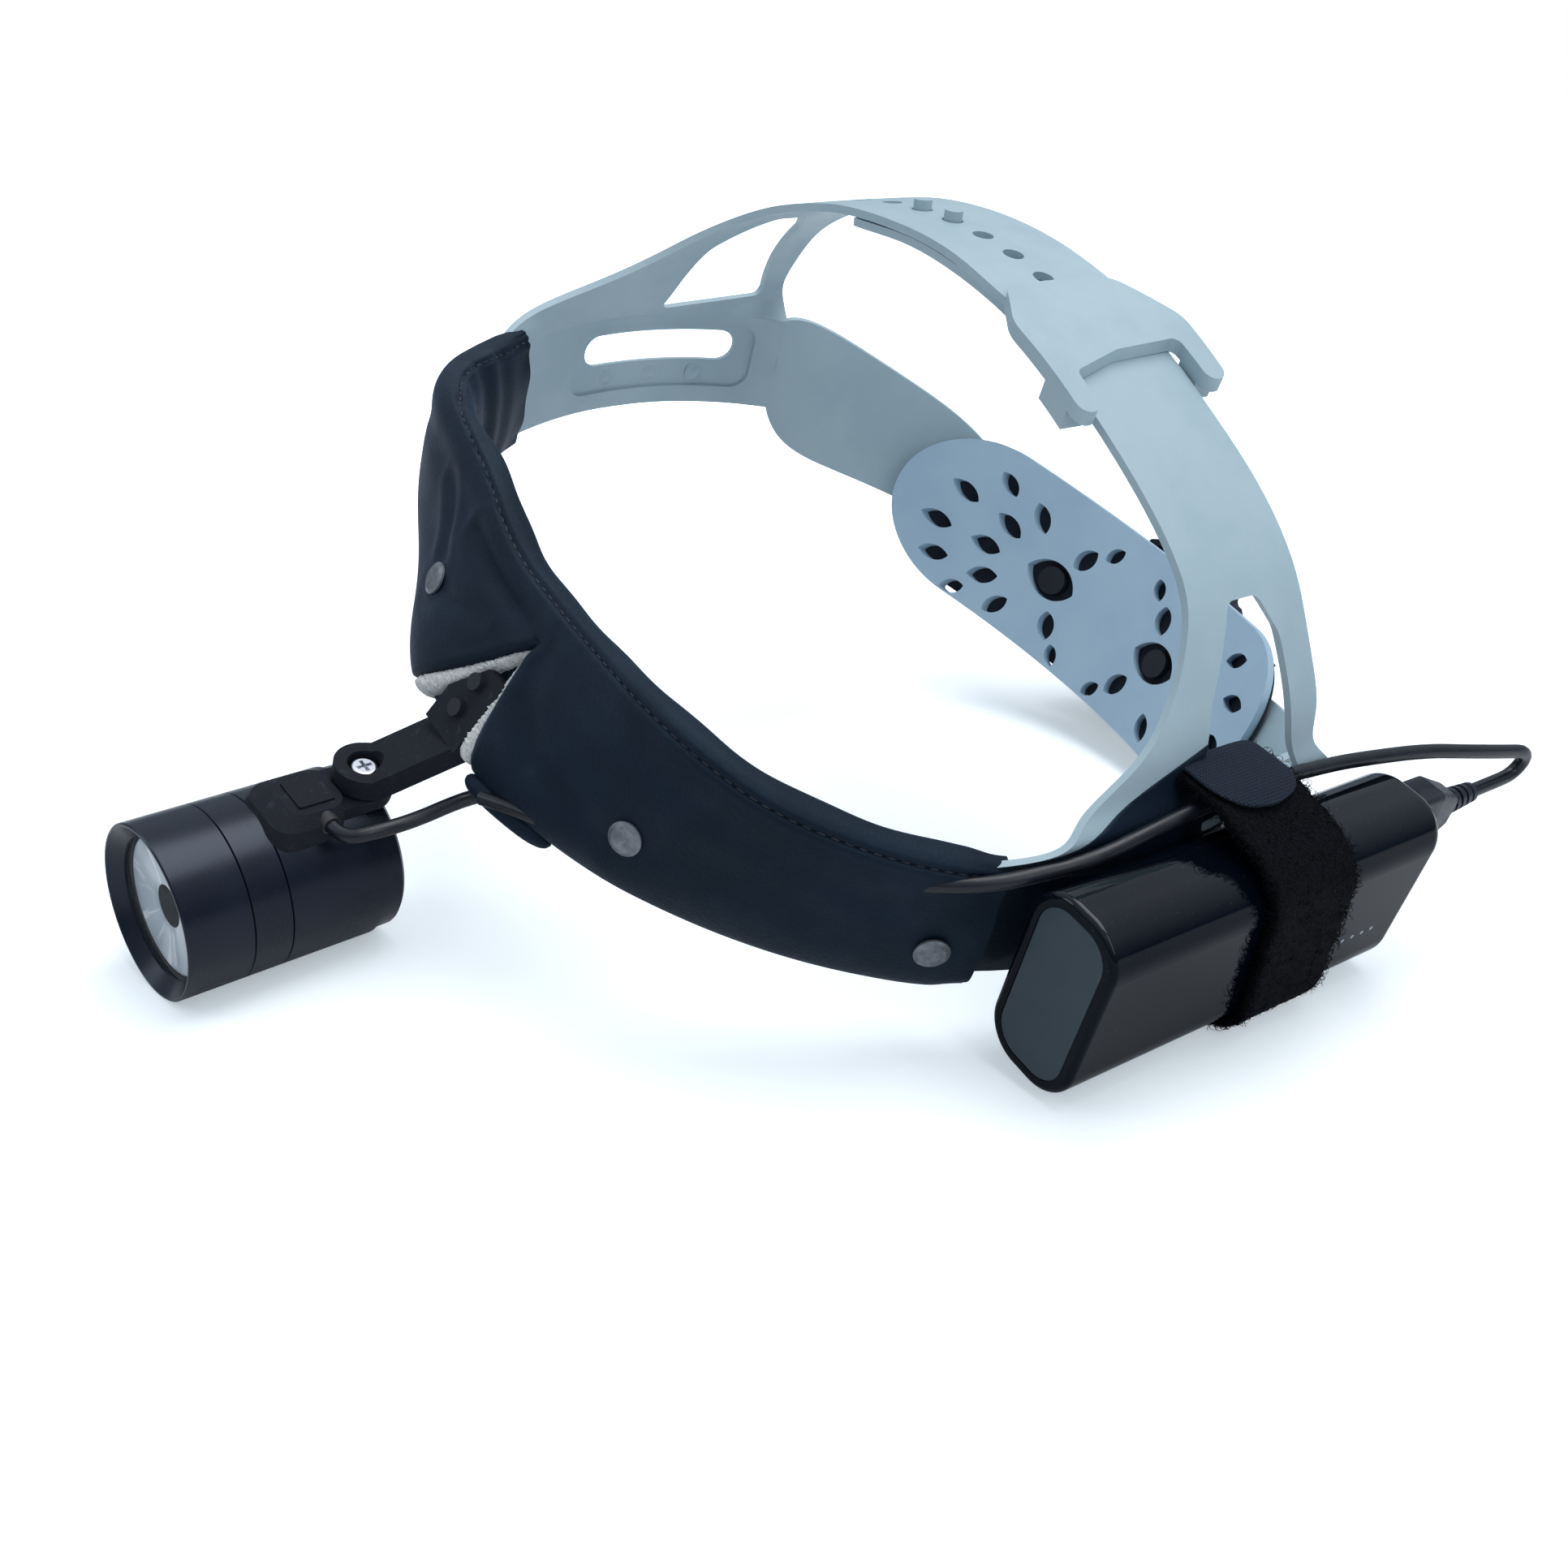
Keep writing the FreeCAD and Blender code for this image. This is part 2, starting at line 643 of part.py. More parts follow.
def strap_section(angle, front, rear, depth):
    """A slightly crowned section of a crown strap."""
    bow = 0.15
    corners = []
    for level, raise_by in ((depth, bow), (depth + band_thick, bow)):
        x, z = arch(angle, level)
        top_x, top_z = arch(angle, level - raise_by)
        corners.append((Vector(x, front, z), Vector(top_x, (front + rear) / 2, top_z),
                        Vector(x, rear, z)))
    outer, inner = corners
    return Part.Wire([Part.Arc(*outer).toShape(), Part.LineSegment(outer[2], inner[2]).toShape(),
                      Part.Arc(inner[2], inner[1], inner[0]).toShape(),
                      Part.LineSegment(inner[0], outer[0]).toShape()])


def root_section(side, front, rear, height):
    """The foot of a crown strap on the headband's upper edge."""
    middle = (front + rear) / 2
    outer = [Vector(side * side_x(y), y, height) for y in (front, middle, rear)]
    inner = [Vector(side * side_x(y, band_thick), y, height) for y in (front, middle, rear)]
    return Part.Wire([Part.Arc(*outer).toShape(), Part.LineSegment(outer[2], inner[2]).toShape(),
                      Part.Arc(inner[2], inner[1], inner[0]).toShape(),
                      Part.LineSegment(inner[0], outer[0]).toShape()])


# Edges of the leg that runs down from the crown strap: angle, front edge, rear edge
LEG_EDGES = [(39.0, 15.0, 47.5), (47.0, 11.0, 47.0), (55.0, 5.0, 47.6), (62.0, -3.5, 48.4),
             (68.5, -17.0, 48.8)]
leg_opening = [Vector(0, 12.2, 29.4), Vector(0, 43.0, 32.8), Vector(0, 40.2, 46), Vector(0, 38.2, 60),
               Vector(0, 34.0, 66), Vector(0, 25.5, 66), Vector(0, 16.4, 52)]


def crown_half(side, start, depth):
    """One half of the crown: a strap that spreads into two legs round a triangular opening."""
    sections = [strap_section(angle, crown_front, crown_rear, depth) for angle in start]
    for degrees, front, rear in LEG_EDGES:
        sections.append(strap_section(side * math.radians(degrees), front, rear, 0.0))
    sections.append(root_section(side, -42.0, 49.0, band_height))
    half = loft(sections)
    hole = rounded_wire([spot + Vector(side * 60, 0, 0) for spot in leg_opening],
                        [2.0, 2.5, 6.0, 4.0, 2.5, 3.0, 8.0])
    return half.cut(slab(hole, Vector(side * 60, 0, 0)))


hole_middle = (crown_front + crown_rear) / 2 - 1.5
peg_angles = [arch_angle(-num("peg_first") + index * num("peg_pitch")) for index in range(-2, 5)]


def crown_rod(angle, radius, start_depth, stop_depth):
    """A round rod square to the crown arch between two depths."""
    low_x, low_z = arch(angle, start_depth)
    top_x, top_z = arch(angle, stop_depth)
    start = Vector(low_x, hole_middle, low_z)
    axis = Vector(top_x, hole_middle, top_z) - start
    return rod(start, axis, radius, axis.Length)


plate_left = 8.0
right_start = [arch_angle(x) for x in (plate_left + 6, -8.0, -24.0, -40.0, -56.0, -70.0)]
right_half = crown_half(-1, right_start, 0.0)
for angle in peg_angles:
    right_half = right_half.cut(crown_rod(angle, num("peg_radius") + 0.3, band_thick + 3, -3))


def crown_shell(outer, inner):
    """The shell between two depths below the crown arch's face."""
    lower = Vector(0, 0, crown_middle_z)
    along = Vector(0, 1, 0)
    big = Part.makeCylinder(crown_radius - outer, 80, lower, along)
    return big.cut(Part.makeCylinder(crown_radius - inner, 80, lower, along))


# Keeper plate at the end of the right half: the left half slides under it and over its bridge
raised = num("plate_raise")
tongue_depth = band_thick + num("layer_gap")
bridge_depth = tongue_depth + band_thick + num("layer_gap")
plate_outline = rounded_wire([Vector(plate_left, 17, 60), Vector(20, 9.5, 60), Vector(45, 9.5, 60),
                              Vector(45, 15.4, 60), Vector(35, 15.4, 60), Vector(31, 30, 60),
                              Vector(30, 48.6, 60), Vector(42, 48.6, 60), Vector(42, 54.5, 60),
                              Vector(24, 55.5, 60), Vector(plate_left, 46, 60)],
                             [7, 9, 2.8, 2.8, 2, 8, 2, 2.8, 2.8, 9, 8])
plate = slab(plate_outline, Vector(0, 0, 40)).common(crown_shell(-raised, band_thick))
front_wall = block(33, 41, 9.5, 15.4, 60, 100).common(crown_shell(-raised, bridge_depth + 1.8))
rear_wall = block(33, 39, 48.6, 54.5, 60, 100).common(crown_shell(-raised, bridge_depth + 1.8))
bridge = block(34, 39, 9.5, 54.5, 60, 100).common(crown_shell(bridge_depth, bridge_depth + 1.8))
right_half = right_half.fuse([plate, front_wall, rear_wall, bridge]).removeSplitter()
shaped("crown_strap_right", right_half)

left_angles = [arch_angle(x) for x in (-43.0, -26.0, -8.0, 10.0, 28.0, 46.0)]
left_sections = [strap_section(angle, crown_front + gap, crown_rear - gap, tongue_depth)
                 for angle in left_angles]
left_sections.append(strap_section(arch_angle(62.0), crown_front, crown_rear, tongue_depth * 0.5))
left_sections.append(strap_section(shoulder * 0.985, crown_front, crown_rear, 0.3))
for degrees, front, rear in LEG_EDGES:
    left_sections.append(strap_section(math.radians(degrees), front, rear, 0.0))
left_sections.append(root_section(1, -42.0, 49.0, band_height))
left_half = loft(left_sections)
left_hole = rounded_wire([spot + Vector(60, 0, 0) for spot in leg_opening],
                         [2.0, 2.5, 6.0, 4.0, 2.5, 3.0, 8.0])
left_half = left_half.cut(slab(left_hole, Vector(60, 0, 0)))
pegs = [crown_rod(peg_angles[index], num("peg_radius"), tongue_depth + 0.6, -2.4) for index in (2, 3)]
left_half = left_half.fuse(pegs).removeSplitter()
shaped("crown_strap_left", left_half)

# Nape: a frame of its own, leaning back, its arcs bent about a point near the middle of the head

nape_turn = Rotation(Vector(1, 0, 0), -num("nape_lean")).multiply(
    Rotation(Vector(0, 1, 0), num("nape_roll")))
oval_rear = 2 * side_middle_y - front_middle_y + front_radius
nape_place = Placement(Vector(num("nape_side"), oval_rear + num("nape_gap"), num("nape_low")), nape_turn)
bend_middle = Vector(0, -num("nape_radius"), 0)


def nape_shell(inner, outer, low, high):
    """Part of a ring about the nape's bend, between two distances from the pad's middle."""
    radius = num("nape_radius")
    base = bend_middle + Vector(0, 0, low)
    big = Part.makeCylinder(radius + outer, high - low, base)
    return big.cut(Part.makeCylinder(radius + inner, high - low, base))


def wedge(angle, low, high, reach=160.0):
    """A wedge that opens by an angle on each side of the nape's middle."""
    corners = [bend_middle + Vector(0, 0, low)]
    for side in (-1, 1):
        turn_by = side * math.radians(angle)
        corners.append(bend_middle + Vector(reach * math.sin(turn_by), reach * math.cos(turn_by), low))
    return slab(Part.makePolygon(corners + [corners[0]]), Vector(0, 0, high - low))


def oval_prism(x, z, length, width, tilt):
    """A pointed oval hole through the nape pad, its long axis turned by an angle."""
    half, rise = length / 2, width / 2
    along = Vector(math.cos(tilt), 0, math.sin(tilt))
    across = Vector(-math.sin(tilt), 0, math.cos(tilt))
    middle = Vector(x, -45, z)
    upper = Part.Arc(middle - along * half, middle + across * rise, middle + along * half)
    lower = Part.Arc(middle + along * half, middle - across * rise, middle - along * half)
    return slab(Part.Wire([upper.toShape(), lower.toShape()]), Vector(0, 60, 0))


nape_radius = num("nape_radius")


def chord(arc):
    """Distance to the side of a place a length along the nape's bend."""
    return nape_radius * math.sin(arc / nape_radius)


pad_tall = num("pad_half_height")
pad_right = chord(-num("pad_half") - 1.5)
pad_left = chord(num("pad_half") - 2.5)
pad_outline = rounded_wire([Vector(pad_right, -60, -pad_tall), Vector(pad_left, -60, -pad_tall),
                            Vector(pad_left, -60, pad_tall), Vector(pad_right, -60, pad_tall)],
                           pad_tall * 0.98)
half_wall = num("pad_thick") / 2
nape_shape = nape_shell(-half_wall, half_wall, -40, 40).common(slab(pad_outline, Vector(0, 80, 0)))

# Vents round each large oval, as steps sideways and up from it, for the left half
VENTS = [(-12.5, 13, 9, 4.8), (-19.5, 6, 9, 4.8), (-22.5, -2.5, 9, 4.8), (-18.5, -10.5, 9, 4.8),
         (-10.5, -15.5, 8.5, 4.6), (5.5, 10.5, 8.5, 5.4), (6.5, -11.5, 8.5, 5.4), (12.5, 16.5, 6.5, 4),
         (13, -17.5, 6.5, 4), (-26, 16, 7.5, 4.2), (-36, 7.5, 8.5, 4.6), (-39, -4, 8.5, 4.6),
         (-34.5, -13, 8, 4.4), (-24.5, -18.5, 7, 4)]
spread = num("oval_spread")
for side in SIDES:
    nape_shape = nape_shape.cut(oval_prism(-side * spread, -2.0, 16.5, 11.0, 0))
    for step_x, step_z, length, width in VENTS:
        tilt = math.atan2(step_z, step_x * side)
        vent = oval_prism(side * chord(step_x - spread), step_z - 2.0, length, width, tilt)
        nape_shape = nape_shape.cut(vent)
shaped("nape_pad", nape_shape, nape_place)

# Ratchet: two tails between housing and cover, driven by a pinion on the knob's stem
tail_thick = num("tail_thick")
tail_half = num("tail_height") / 2
housing_half = num("housing_height") / 2
housing_angle = num("housing_angle")
wall = num("housing_wall")
housing_front = half_wall + 1.3
inner_tail = housing_front + wall + gap
outer_tail = inner_tail + tail_thick + 0.8
housing_back = outer_tail + tail_thick + 4.0
module = num("tooth_module")
teeth = int(num("pinion_teeth"))
pitch_radius = module * teeth / 2
slot_half = pitch_radius + 1.25 * module

floor_shell = nape_shell(housing_front, housing_front + wall, -housing_half, housing_half)
rails = [nape_shell(housing_front, housing_back, low, high)
         for low, high in ((-housing_half, -housing_half + 2.2), (housing_half - 2.2, housing_half))]
housing = floor_shell.fuse(rails).common(wedge(housing_angle, -housing_half - 1, housing_half + 1))
pegs_for_pad = []
for side in SIDES:
    peg = rod(Vector(side * spread, -30, -2.0), Vector(0, 1, 0), 4.0, 80)
    peg = peg.common(nape_shell(-half_wall + 0.4, housing_front + 0.2, -30, 30))
    pegs_for_pad.append(peg)
housing = housing.fuse(pegs_for_pad)
stem_radius = 3.0
housing = housing.cut(rod(Vector(0, -10, 0), Vector(0, 1, 0), stem_radius + run_gap, 30))
shaped("ratchet_housing", housing.removeSplitter(), nape_place)

cover = nape_shell(housing_back, housing_back + wall, -housing_half, housing_half)
cover = cover.common(wedge(housing_angle, -housing_half - 1, housing_half + 1))
boss_radius = 15.0
boss_depth = 3.0
boss = rod(Vector(0, 0, 0), Vector(0, 1, 0), boss_radius, housing_back + wall + boss_depth)
boss = boss.cut(Part.makeCylinder(nape_radius + housing_back + 0.5, 80, bend_middle - Vector(0, 0, 40)))
cover = cover.fuse(boss)
spring_room = housing_back + wall + boss_depth - 1.6
cover = cover.cut(rod(Vector(0, spring_room, 0), Vector(0, 1, 0), boss_radius - 2.2, 10))
cover = cover.cut(rod(Vector(0, -10, 0), Vector(0, 1, 0), pitch_radius + module + 0.4, 60))
shaped("ratchet_cover", cover.removeSplitter(), nape_place)


def rack_tail(side, level, upper):
    """A tail inside the ratchet: a bent strip with a slot toothed along one edge."""
    strip = nape_shell(level, level + tail_thick, -tail_half, tail_half)
    near = -14.0
    corners = [bend_middle + Vector(0, 0, -30)]
    for degrees in (near * side, (housing_angle + 1.0) * side):
        turn_by = math.radians(degrees)
        corners.append(bend_middle + Vector(160 * math.sin(turn_by), 160 * math.cos(turn_by), -30))
    strip = strip.common(slab(Part.makePolygon(corners + [corners[0]]), Vector(0, 0, 60)))
    strip = strip.cut(block(-18, 18, -20, 30, -slot_half, slot_half))
    pitch = math.pi * module
    racks = []
    sign = 1 if upper else -1
    for index in range(-4, 5):
        x = index * pitch + pitch / 2
        root, tip = sign * slot_half, sign * (pitch_radius - 0.8 * module)
        corners = [Vector(x - 1.05, -20, root), Vector(x - 0.4, -20, tip), Vector(x + 0.4, -20, tip),
                   Vector(x + 1.05, -20, root), Vector(x, -20, root + sign * 0.4)]
        tooth = slab(Part.makePolygon(corners + [corners[0]]), Vector(0, 60, 0))
        racks.append(tooth.common(nape_shell(level, level + tail_thick, -30, 30)))
    return strip.fuse(racks).removeSplitter()


tail_inner = rack_tail(-1, inner_tail, False)
tail_outer = rack_tail(1, outer_tail, True)


def band_frame(x, y, degrees, tip):
    """Origin, outward normal and up direction of a rear band section."""
    turn_by = math.radians(degrees)
    out = Vector(math.cos(turn_by), math.sin(turn_by), 0)
    tip = math.radians(tip)
    up = out * math.sin(tip) + Vector(0, 0, math.cos(tip))
    return Vector(x, y, 0), out * math.cos(tip) - Vector(0, 0, math.sin(tip)), up


def rear_band(side, tail, level):
    """A rear band: leaves the side plate, drops to the nape and ends in its rack tail."""
    end_spot, end_normal = plan(side * band_reach)
    end_degrees = math.degrees(math.atan2(end_normal.y, abs(end_normal.x)))
    out = 3.5 if side < 0 else 0.6
    tail_x = nape_radius * math.sin(math.radians(housing_angle + 1.0))
    start_x, start_y = abs(end_spot.x), end_spot.y
    wide, deep = start_x - tail_x, oval_rear - start_y
    rows = [(0.0, 0.0, 0.0, end_degrees, 0.0, 0.0, band_height),
            (0.055, 0.133, 0.0, 30.0, 3.0, -11.0, 26.5),
            (0.153, 0.35, 0.3, 37.0, 7.0, -17.5, 20.0),
            (0.317, 0.575, 0.7, 46.0, 12.0, -21.0, 12.5),
            (0.55, 0.81, 1.0, 54.0, 18.0, -23.5, 5.0)]
    sections = []
    for inward, rearward, spread_share, degrees, tip, low, high in rows:
        x = start_x - inward * wide + out * spread_share
        y = start_y + rearward * deep + out * spread_share
        spot, face, up = band_frame(x, y, degrees, tip)
        rise = 1.0 / up.z
        corners = [spot + up * (low * rise), spot + up * (high * rise)]
        corners += [corners[1] - face * band_thick, corners[0] - face * band_thick]
        corners = [Vector(side * corner.x, corner.y, corner.z) for corner in corners]
        sections.append(Part.makePolygon(corners + [corners[0]]))
    radius = nape_radius + level + tail_thick
    turn_by = math.radians(housing_angle + 1.0)
    corners = []
    for distance, height in ((radius, -tail_half), (radius, tail_half),
                             (radius - tail_thick, tail_half), (radius - tail_thick, -tail_half)):
        local = bend_middle + Vector(side * distance * math.sin(turn_by),
                                     distance * math.cos(turn_by), height)
        corners.append(nape_place.multVec(local))
    sections.append(Part.makePolygon(corners + [corners[0]]))
    sweep = loft(sections)
    placed = tail.copy()
    placed.Placement = nape_place
    return sweep.fuse(placed).removeSplitter()


shaped("rear_band_right", rear_band(-1, tail_inner, inner_tail))
shaped("rear_band_left", rear_band(1, tail_outer, outer_tail))


def gear_wheel(radius, count, thick, start, bore):
    """A spur wheel with straight-flanked teeth about the local Y axis."""
    pitch = 2 * math.pi / count
    points = []
    for index in range(count):
        middle = index * pitch
        for offset, distance in ((-0.36, radius - 1.2 * module), (-0.14, radius + 0.8 * module),
                                 (0.14, radius + 0.8 * module), (0.36, radius - 1.2 * module)):
            angle = middle + offset * pitch
            points.append(Vector(distance * math.sin(angle), start, distance * math.cos(angle)))
    wheel = slab(Part.makePolygon(points + [points[0]]), Vector(0, thick, 0))
    return wheel.cut(rod(Vector(0, start - 1, 0), Vector(0, 1, 0), bore, thick + 2))


# Pinion with a square stem up into the knob, and a screw along its axis
pinion_start = inner_tail
pinion_long = housing_back - pinion_start - 0.6
knob_start = housing_back + wall + boss_depth + 0.3
screw_bore = 1.25
pinion = gear_wheel(pitch_radius, teeth, pinion_long, pinion_start, screw_bore)
journal = rod(Vector(0, housing_front - 0.4, 0), Vector(0, 1, 0), stem_radius,
              pinion_start - housing_front + 0.4)
stem_half = 3.0
stem_top = knob_start + 5.0
stem = block(-stem_half, stem_half, pinion_start + pinion_long, stem_top, -stem_half, stem_half)
pinion = pinion.fuse([journal, stem])
pinion = pinion.cut(rod(Vector(0, housing_front, 0), Vector(0, 1, 0), screw_bore, 60))
shaped("ratchet_pinion", pinion.removeSplitter(), nape_place)

# Knob: a fluted cap with a hub over the square stem
knob_radius = num("knob_radius")
knob_depth = num("knob_depth")
knob_wall = 2.0
knob = rod(Vector(0, knob_start, 0), Vector(0, 1, 0), knob_radius, knob_depth)
inside_knob = rod(Vector(0, knob_start - 1, 0), Vector(0, 1, 0), knob_radius - knob_wall,
                  knob_depth + 1 - knob_wall)
knob = knob.cut(inside_knob)
hub = rod(Vector(0, knob_start, 0), Vector(0, 1, 0), 6.0, knob_depth - 1)
knob = knob.fuse(hub)
knob = knob.cut(block(-stem_half - 0.05, stem_half + 0.05, knob_start - 1, stem_top + 0.2,
                      -stem_half - 0.05, stem_half + 0.05))
knob = knob.cut(rod(Vector(0, knob_start, 0), Vector(0, 1, 0), 1.6, 40))
head_seat = knob_start + knob_depth - 2.2
knob = knob.cut(rod(Vector(0, head_seat, 0), Vector(0, 1, 0), 3.2, 10))
flute_count = 20
for index in range(flute_count):
    angle = 2 * math.pi * index / flute_count
    flute = rod(Vector((knob_radius + 1.6) * math.sin(angle), knob_start - 1,
                       (knob_radius + 1.6) * math.cos(angle)), Vector(0, 1, 0), 2.4, knob_depth + 2)
    knob = knob.cut(flute)
shaped("ratchet_knob", knob.removeSplitter(), nape_place)

spring_turn = rod(Vector(0, spring_room, 0), Vector(0, 1, 0), boss_radius - 2.6, 1.2)
spring_turn = spring_turn.cut(rod(Vector(0, spring_room - 1, 0), Vector(0, 1, 0), boss_radius - 4.2, 5))
shaped("detent_spring", spring_turn, nape_place)

screw_long = head_seat - housing_front - 2.0
knob_screw = rod(Vector(0, head_seat - screw_long, 0), Vector(0, 1, 0), screw_bore - 0.05, screw_long)
knob_screw = knob_screw.fuse(rod(Vector(0, head_seat, 0), Vector(0, 1, 0), 2.8, 1.8))
cross = block(-1.6, 1.6, head_seat + 0.8, head_seat + 5, -0.35, 0.35)
cross = cross.fuse(block(-0.35, 0.35, head_seat + 0.8, head_seat + 5, -1.6, 1.6))
shaped("knob_screw", knob_screw.cut(cross).removeSplitter(), nape_place)

# Lamp: turned pieces about the lamp's own Y axis, which runs from its face to the rear

yaw = num("lamp_yaw")
tip_turn = Rotation(Vector(1, 0, 0), num("rest_pitch")).multiply(
    Rotation(Vector(0, 1, 0), num("rest_tilt")))
rest_up = tip_turn.inverted().multVec(Vector(0, 0, 1))
ahead = rest_up.y * math.cos(math.radians(yaw)) - rest_up.x * math.sin(math.radians(yaw))
level_drop = math.degrees(math.atan2(ahead, rest_up.z))
lamp_turn = Rotation(Vector(0, 0, 1), yaw).multiply(Rotation(Vector(1, 0, 0), -level_drop))
brow_y = front_middle_y - front_radius
lamp_middle = Vector(num("lamp_side"), brow_y - num("lamp_ahead"), num("lamp_low"))
lamp_face = lamp_middle - lamp_turn.multVec(Vector(0, num("lamp_length") / 2, 0))
lamp_place = Placement(lamp_face, lamp_turn)

lamp_radius = size("lamp_radius")
lamp_length = size("lamp_length")
bezel_length = size("bezel_length")
bezel_lip = size("bezel_lip")
window_deep = size("window_deep")
window_back = window_deep + size("window_thick")
lamp_wall = size("lamp_wall")
cap_length = size("cap_length")
fit = size("fit_gap")
seat_radius = lamp_radius - 1.8
body_bore = lamp_radius - lamp_wall
seal_radius = 0.6
seal_back = window_back + 2 * seal_radius
spigot_radius = seat_radius - 0.02

rim_radius = lamp_radius - 0.7
turned("lamp_bezel", [(rim_radius, 0), (rim_radius + 0.4, 0), (lamp_radius, 0.3),
                      (lamp_radius, bezel_length), (seat_radius, bezel_length),
                      (seat_radius, window_deep), (bezel_lip, window_deep),
                      (bezel_lip, window_deep - 0.5)], lamp_place)
turned("lens_window", [(0, window_deep), (seat_radius - fit, window_deep),
                       (seat_radius - fit, window_back), (0, window_back)], lamp_place)
oring = Part.makeTorus((seat_radius - seal_radius - 0.1).value, seal_radius,
                       Vector(0, (window_back + seal_radius).value, 0), Vector(0, 1, 0))
shaped("window_seal", oring, lamp_place)

sink_start = bezel_length + 8.0
sink_end = sink_start + 6.0
cap_start = lamp_length - cap_length
housing_end = cap_start
housing_line = size("housing_line")
turned("lamp_housing", [(body_bore, sink_end), (body_bore, housing_end), (lamp_radius, housing_end),
                        (lamp_radius, housing_line + 0.2), (lamp_radius - 0.35, housing_line),
                        (lamp_radius, housing_line - 0.2),
                        (lamp_radius, bezel_length + 0.4), (lamp_radius - 0.5, bezel_length + 0.05),
                        (spigot_radius, bezel_length + 0.05), (spigot_radius, seal_back),
                        (spigot_radius - 1.6, seal_back), (spigot_radius - 1.6, sink_start - 0.05),
                        (body_bore - 1.2, sink_start - 0.05), (body_bore - 1.2, sink_end)], lamp_place)
plug_radius = body_bore - 0.02
turned("lamp_tail_cap", [(0, housing_end + 1.5), (plug_radius - 1.8, housing_end + 1.5),
                         (plug_radius - 1.8, housing_end - 4.5), (plug_radius, housing_end - 4.5),
                         (plug_radius, housing_end + 0.05), (lamp_radius - 0.6, housing_end + 0.05),
                         (lamp_radius - 0.6, lamp_length - 0.8), (lamp_radius - 1.4, lamp_length),
                         (0, lamp_length)], lamp_place)
tail_seal = Part.makeTorus((plug_radius - 0.9).value, 0.5, Vector(0, (housing_end - 5.05).value, 0),
                           Vector(0, 1, 0))
shaped("tail_seal", tail_seal, lamp_place)
turned("heat_sink", [(2.0, sink_start), (body_bore - 1.25, sink_start), (body_bore - 1.25, sink_end),
                     (2.0, sink_end)], lamp_place)

# Optic: a clear cone over the led with a dark well in its middle, held in a cup
optic_front = window_back + 0.1
board_front = sink_start - 1.6
optic_radius = spigot_radius - 2.0
well_radius = 4.4
turned("led_board", [(1.5, board_front), (spigot_radius - 3.0, board_front),
                     (spigot_radius - 3.0, sink_start), (1.5, sink_start)], lamp_place)
led_body = block(-1.75, 1.75, (board_front - 0.8).value, board_front.value, -1.75, 1.75)
led_dome = Part.makeSphere(1.4, Vector(0, (board_front - 0.8).value, 0), Vector(0, -1, 0), 0, 90)
shaped("led", led_body.fuse(led_dome).removeSplitter(), lamp_place)
cup_start = board_front - 6.0
turned("optic_holder", [(5.2, board_front - 0.05), (optic_radius - 4.6, board_front - 0.05),
                        (optic_radius - 0.2, cup_start), (optic_radius - 0.2, optic_front + 2.0),
                        (optic_radius - 1.2, optic_front + 2.0), (optic_radius - 1.2, cup_start + 0.4),
                        (5.2, board_front - 1.0)], lamp_place)
turned("optic", [(well_radius, optic_front), (optic_radius - 0.2, optic_front),
                 (optic_radius - 0.2, optic_front + 1.8), (optic_radius - 1.4, optic_front + 1.8),
                 (optic_radius - 1.4, cup_start - 0.4), (5.4, board_front - 1.4),
                 (2.6, board_front - 2.6), (2.6, optic_front + 6.0), (well_radius, optic_front + 4.5)],
       lamp_place)
driver_start = sink_end + 5.0
turned("driver_board", [(1.5, driver_start), (body_bore - 1.6, driver_start),
                        (body_bore - 1.6, driver_start + 1.6), (1.5, driver_start + 1.6)], lamp_place)
spacer_posts = []
for degrees in (90, 210, 330):
    angle = math.radians(degrees)
    spot = Vector(9 * math.cos(angle), sink_end.value, 9 * math.sin(angle))
    spacer_posts.append(rod(spot, Vector(0, 1, 0), 1.5, (driver_start - sink_end).value))
shaped("board_spacers", Part.makeCompound(spacer_posts), lamp_place)

# Bracket: a tapered box bonded on the lamp where the cable ends, and a lug for the swivel
radius = num("lamp_radius")
box_side = num("box_side")
box_half = num("box_half")
box_start, box_end = num("box_start"), num("box_end")
box_height = num("box_height")
foot_half, foot_start = num("foot_half"), num("foot_start")
swivel_side, swivel_place = num("swivel_side"), num("swivel_place")
swivel_radius = num("swivel_radius")
arm_half = num("arm_half")
arm_thick = num("arm_thick")
foot_low = 12.0
lug_low = radius - 1.5
lug_top = radius + 1.4


def flat_ring(half, start, stop, height, corner):
    """A rounded rectangle across the bracket at a height above the lamp's axis."""
    return rounded_wire([Vector(box_side - half, start, height), Vector(box_side + half, start, height),
                         Vector(box_side + half, stop, height), Vector(box_side - half, stop, height)],
                        corner)


shoulder_half, shoulder_start = foot_half - 1.0, foot_start + 4.4
shoulder_height = box_height - 2.2
box = loft([flat_ring(foot_half, foot_start, box_end + 0.3, foot_low, 6.0),
            flat_ring(shoulder_half, shoulder_start, box_end + 0.1, shoulder_height, 5.0),
            flat_ring(box_half, box_start, box_end, box_height, 3.6)], ruled=True)
lug = block(swivel_side - arm_half, swivel_side + arm_half, box_end - 2, swivel_place, lug_low, lug_top)
lug = lug.fuse(rod(Vector(swivel_side, swivel_place, lug_low), Vector(0, 0, 1), arm_half,
                   lug_top - lug_low))
tube_room = Part.makeCylinder(radius + 0.02, 80, Vector(0, -5, 0), Vector(0, 1, 0))
bracket = box.fuse(lug).cut(tube_room)
lid_thick = 1.2
lid_margin = 2.0
cavity_low = radius + 0.9
bracket = bracket.cut(block(box_side - box_half + lid_margin, box_side + box_half - lid_margin,
                            box_start + lid_margin, box_end - lid_margin, cavity_low, box_height + 1))
insert_radius = 2.4
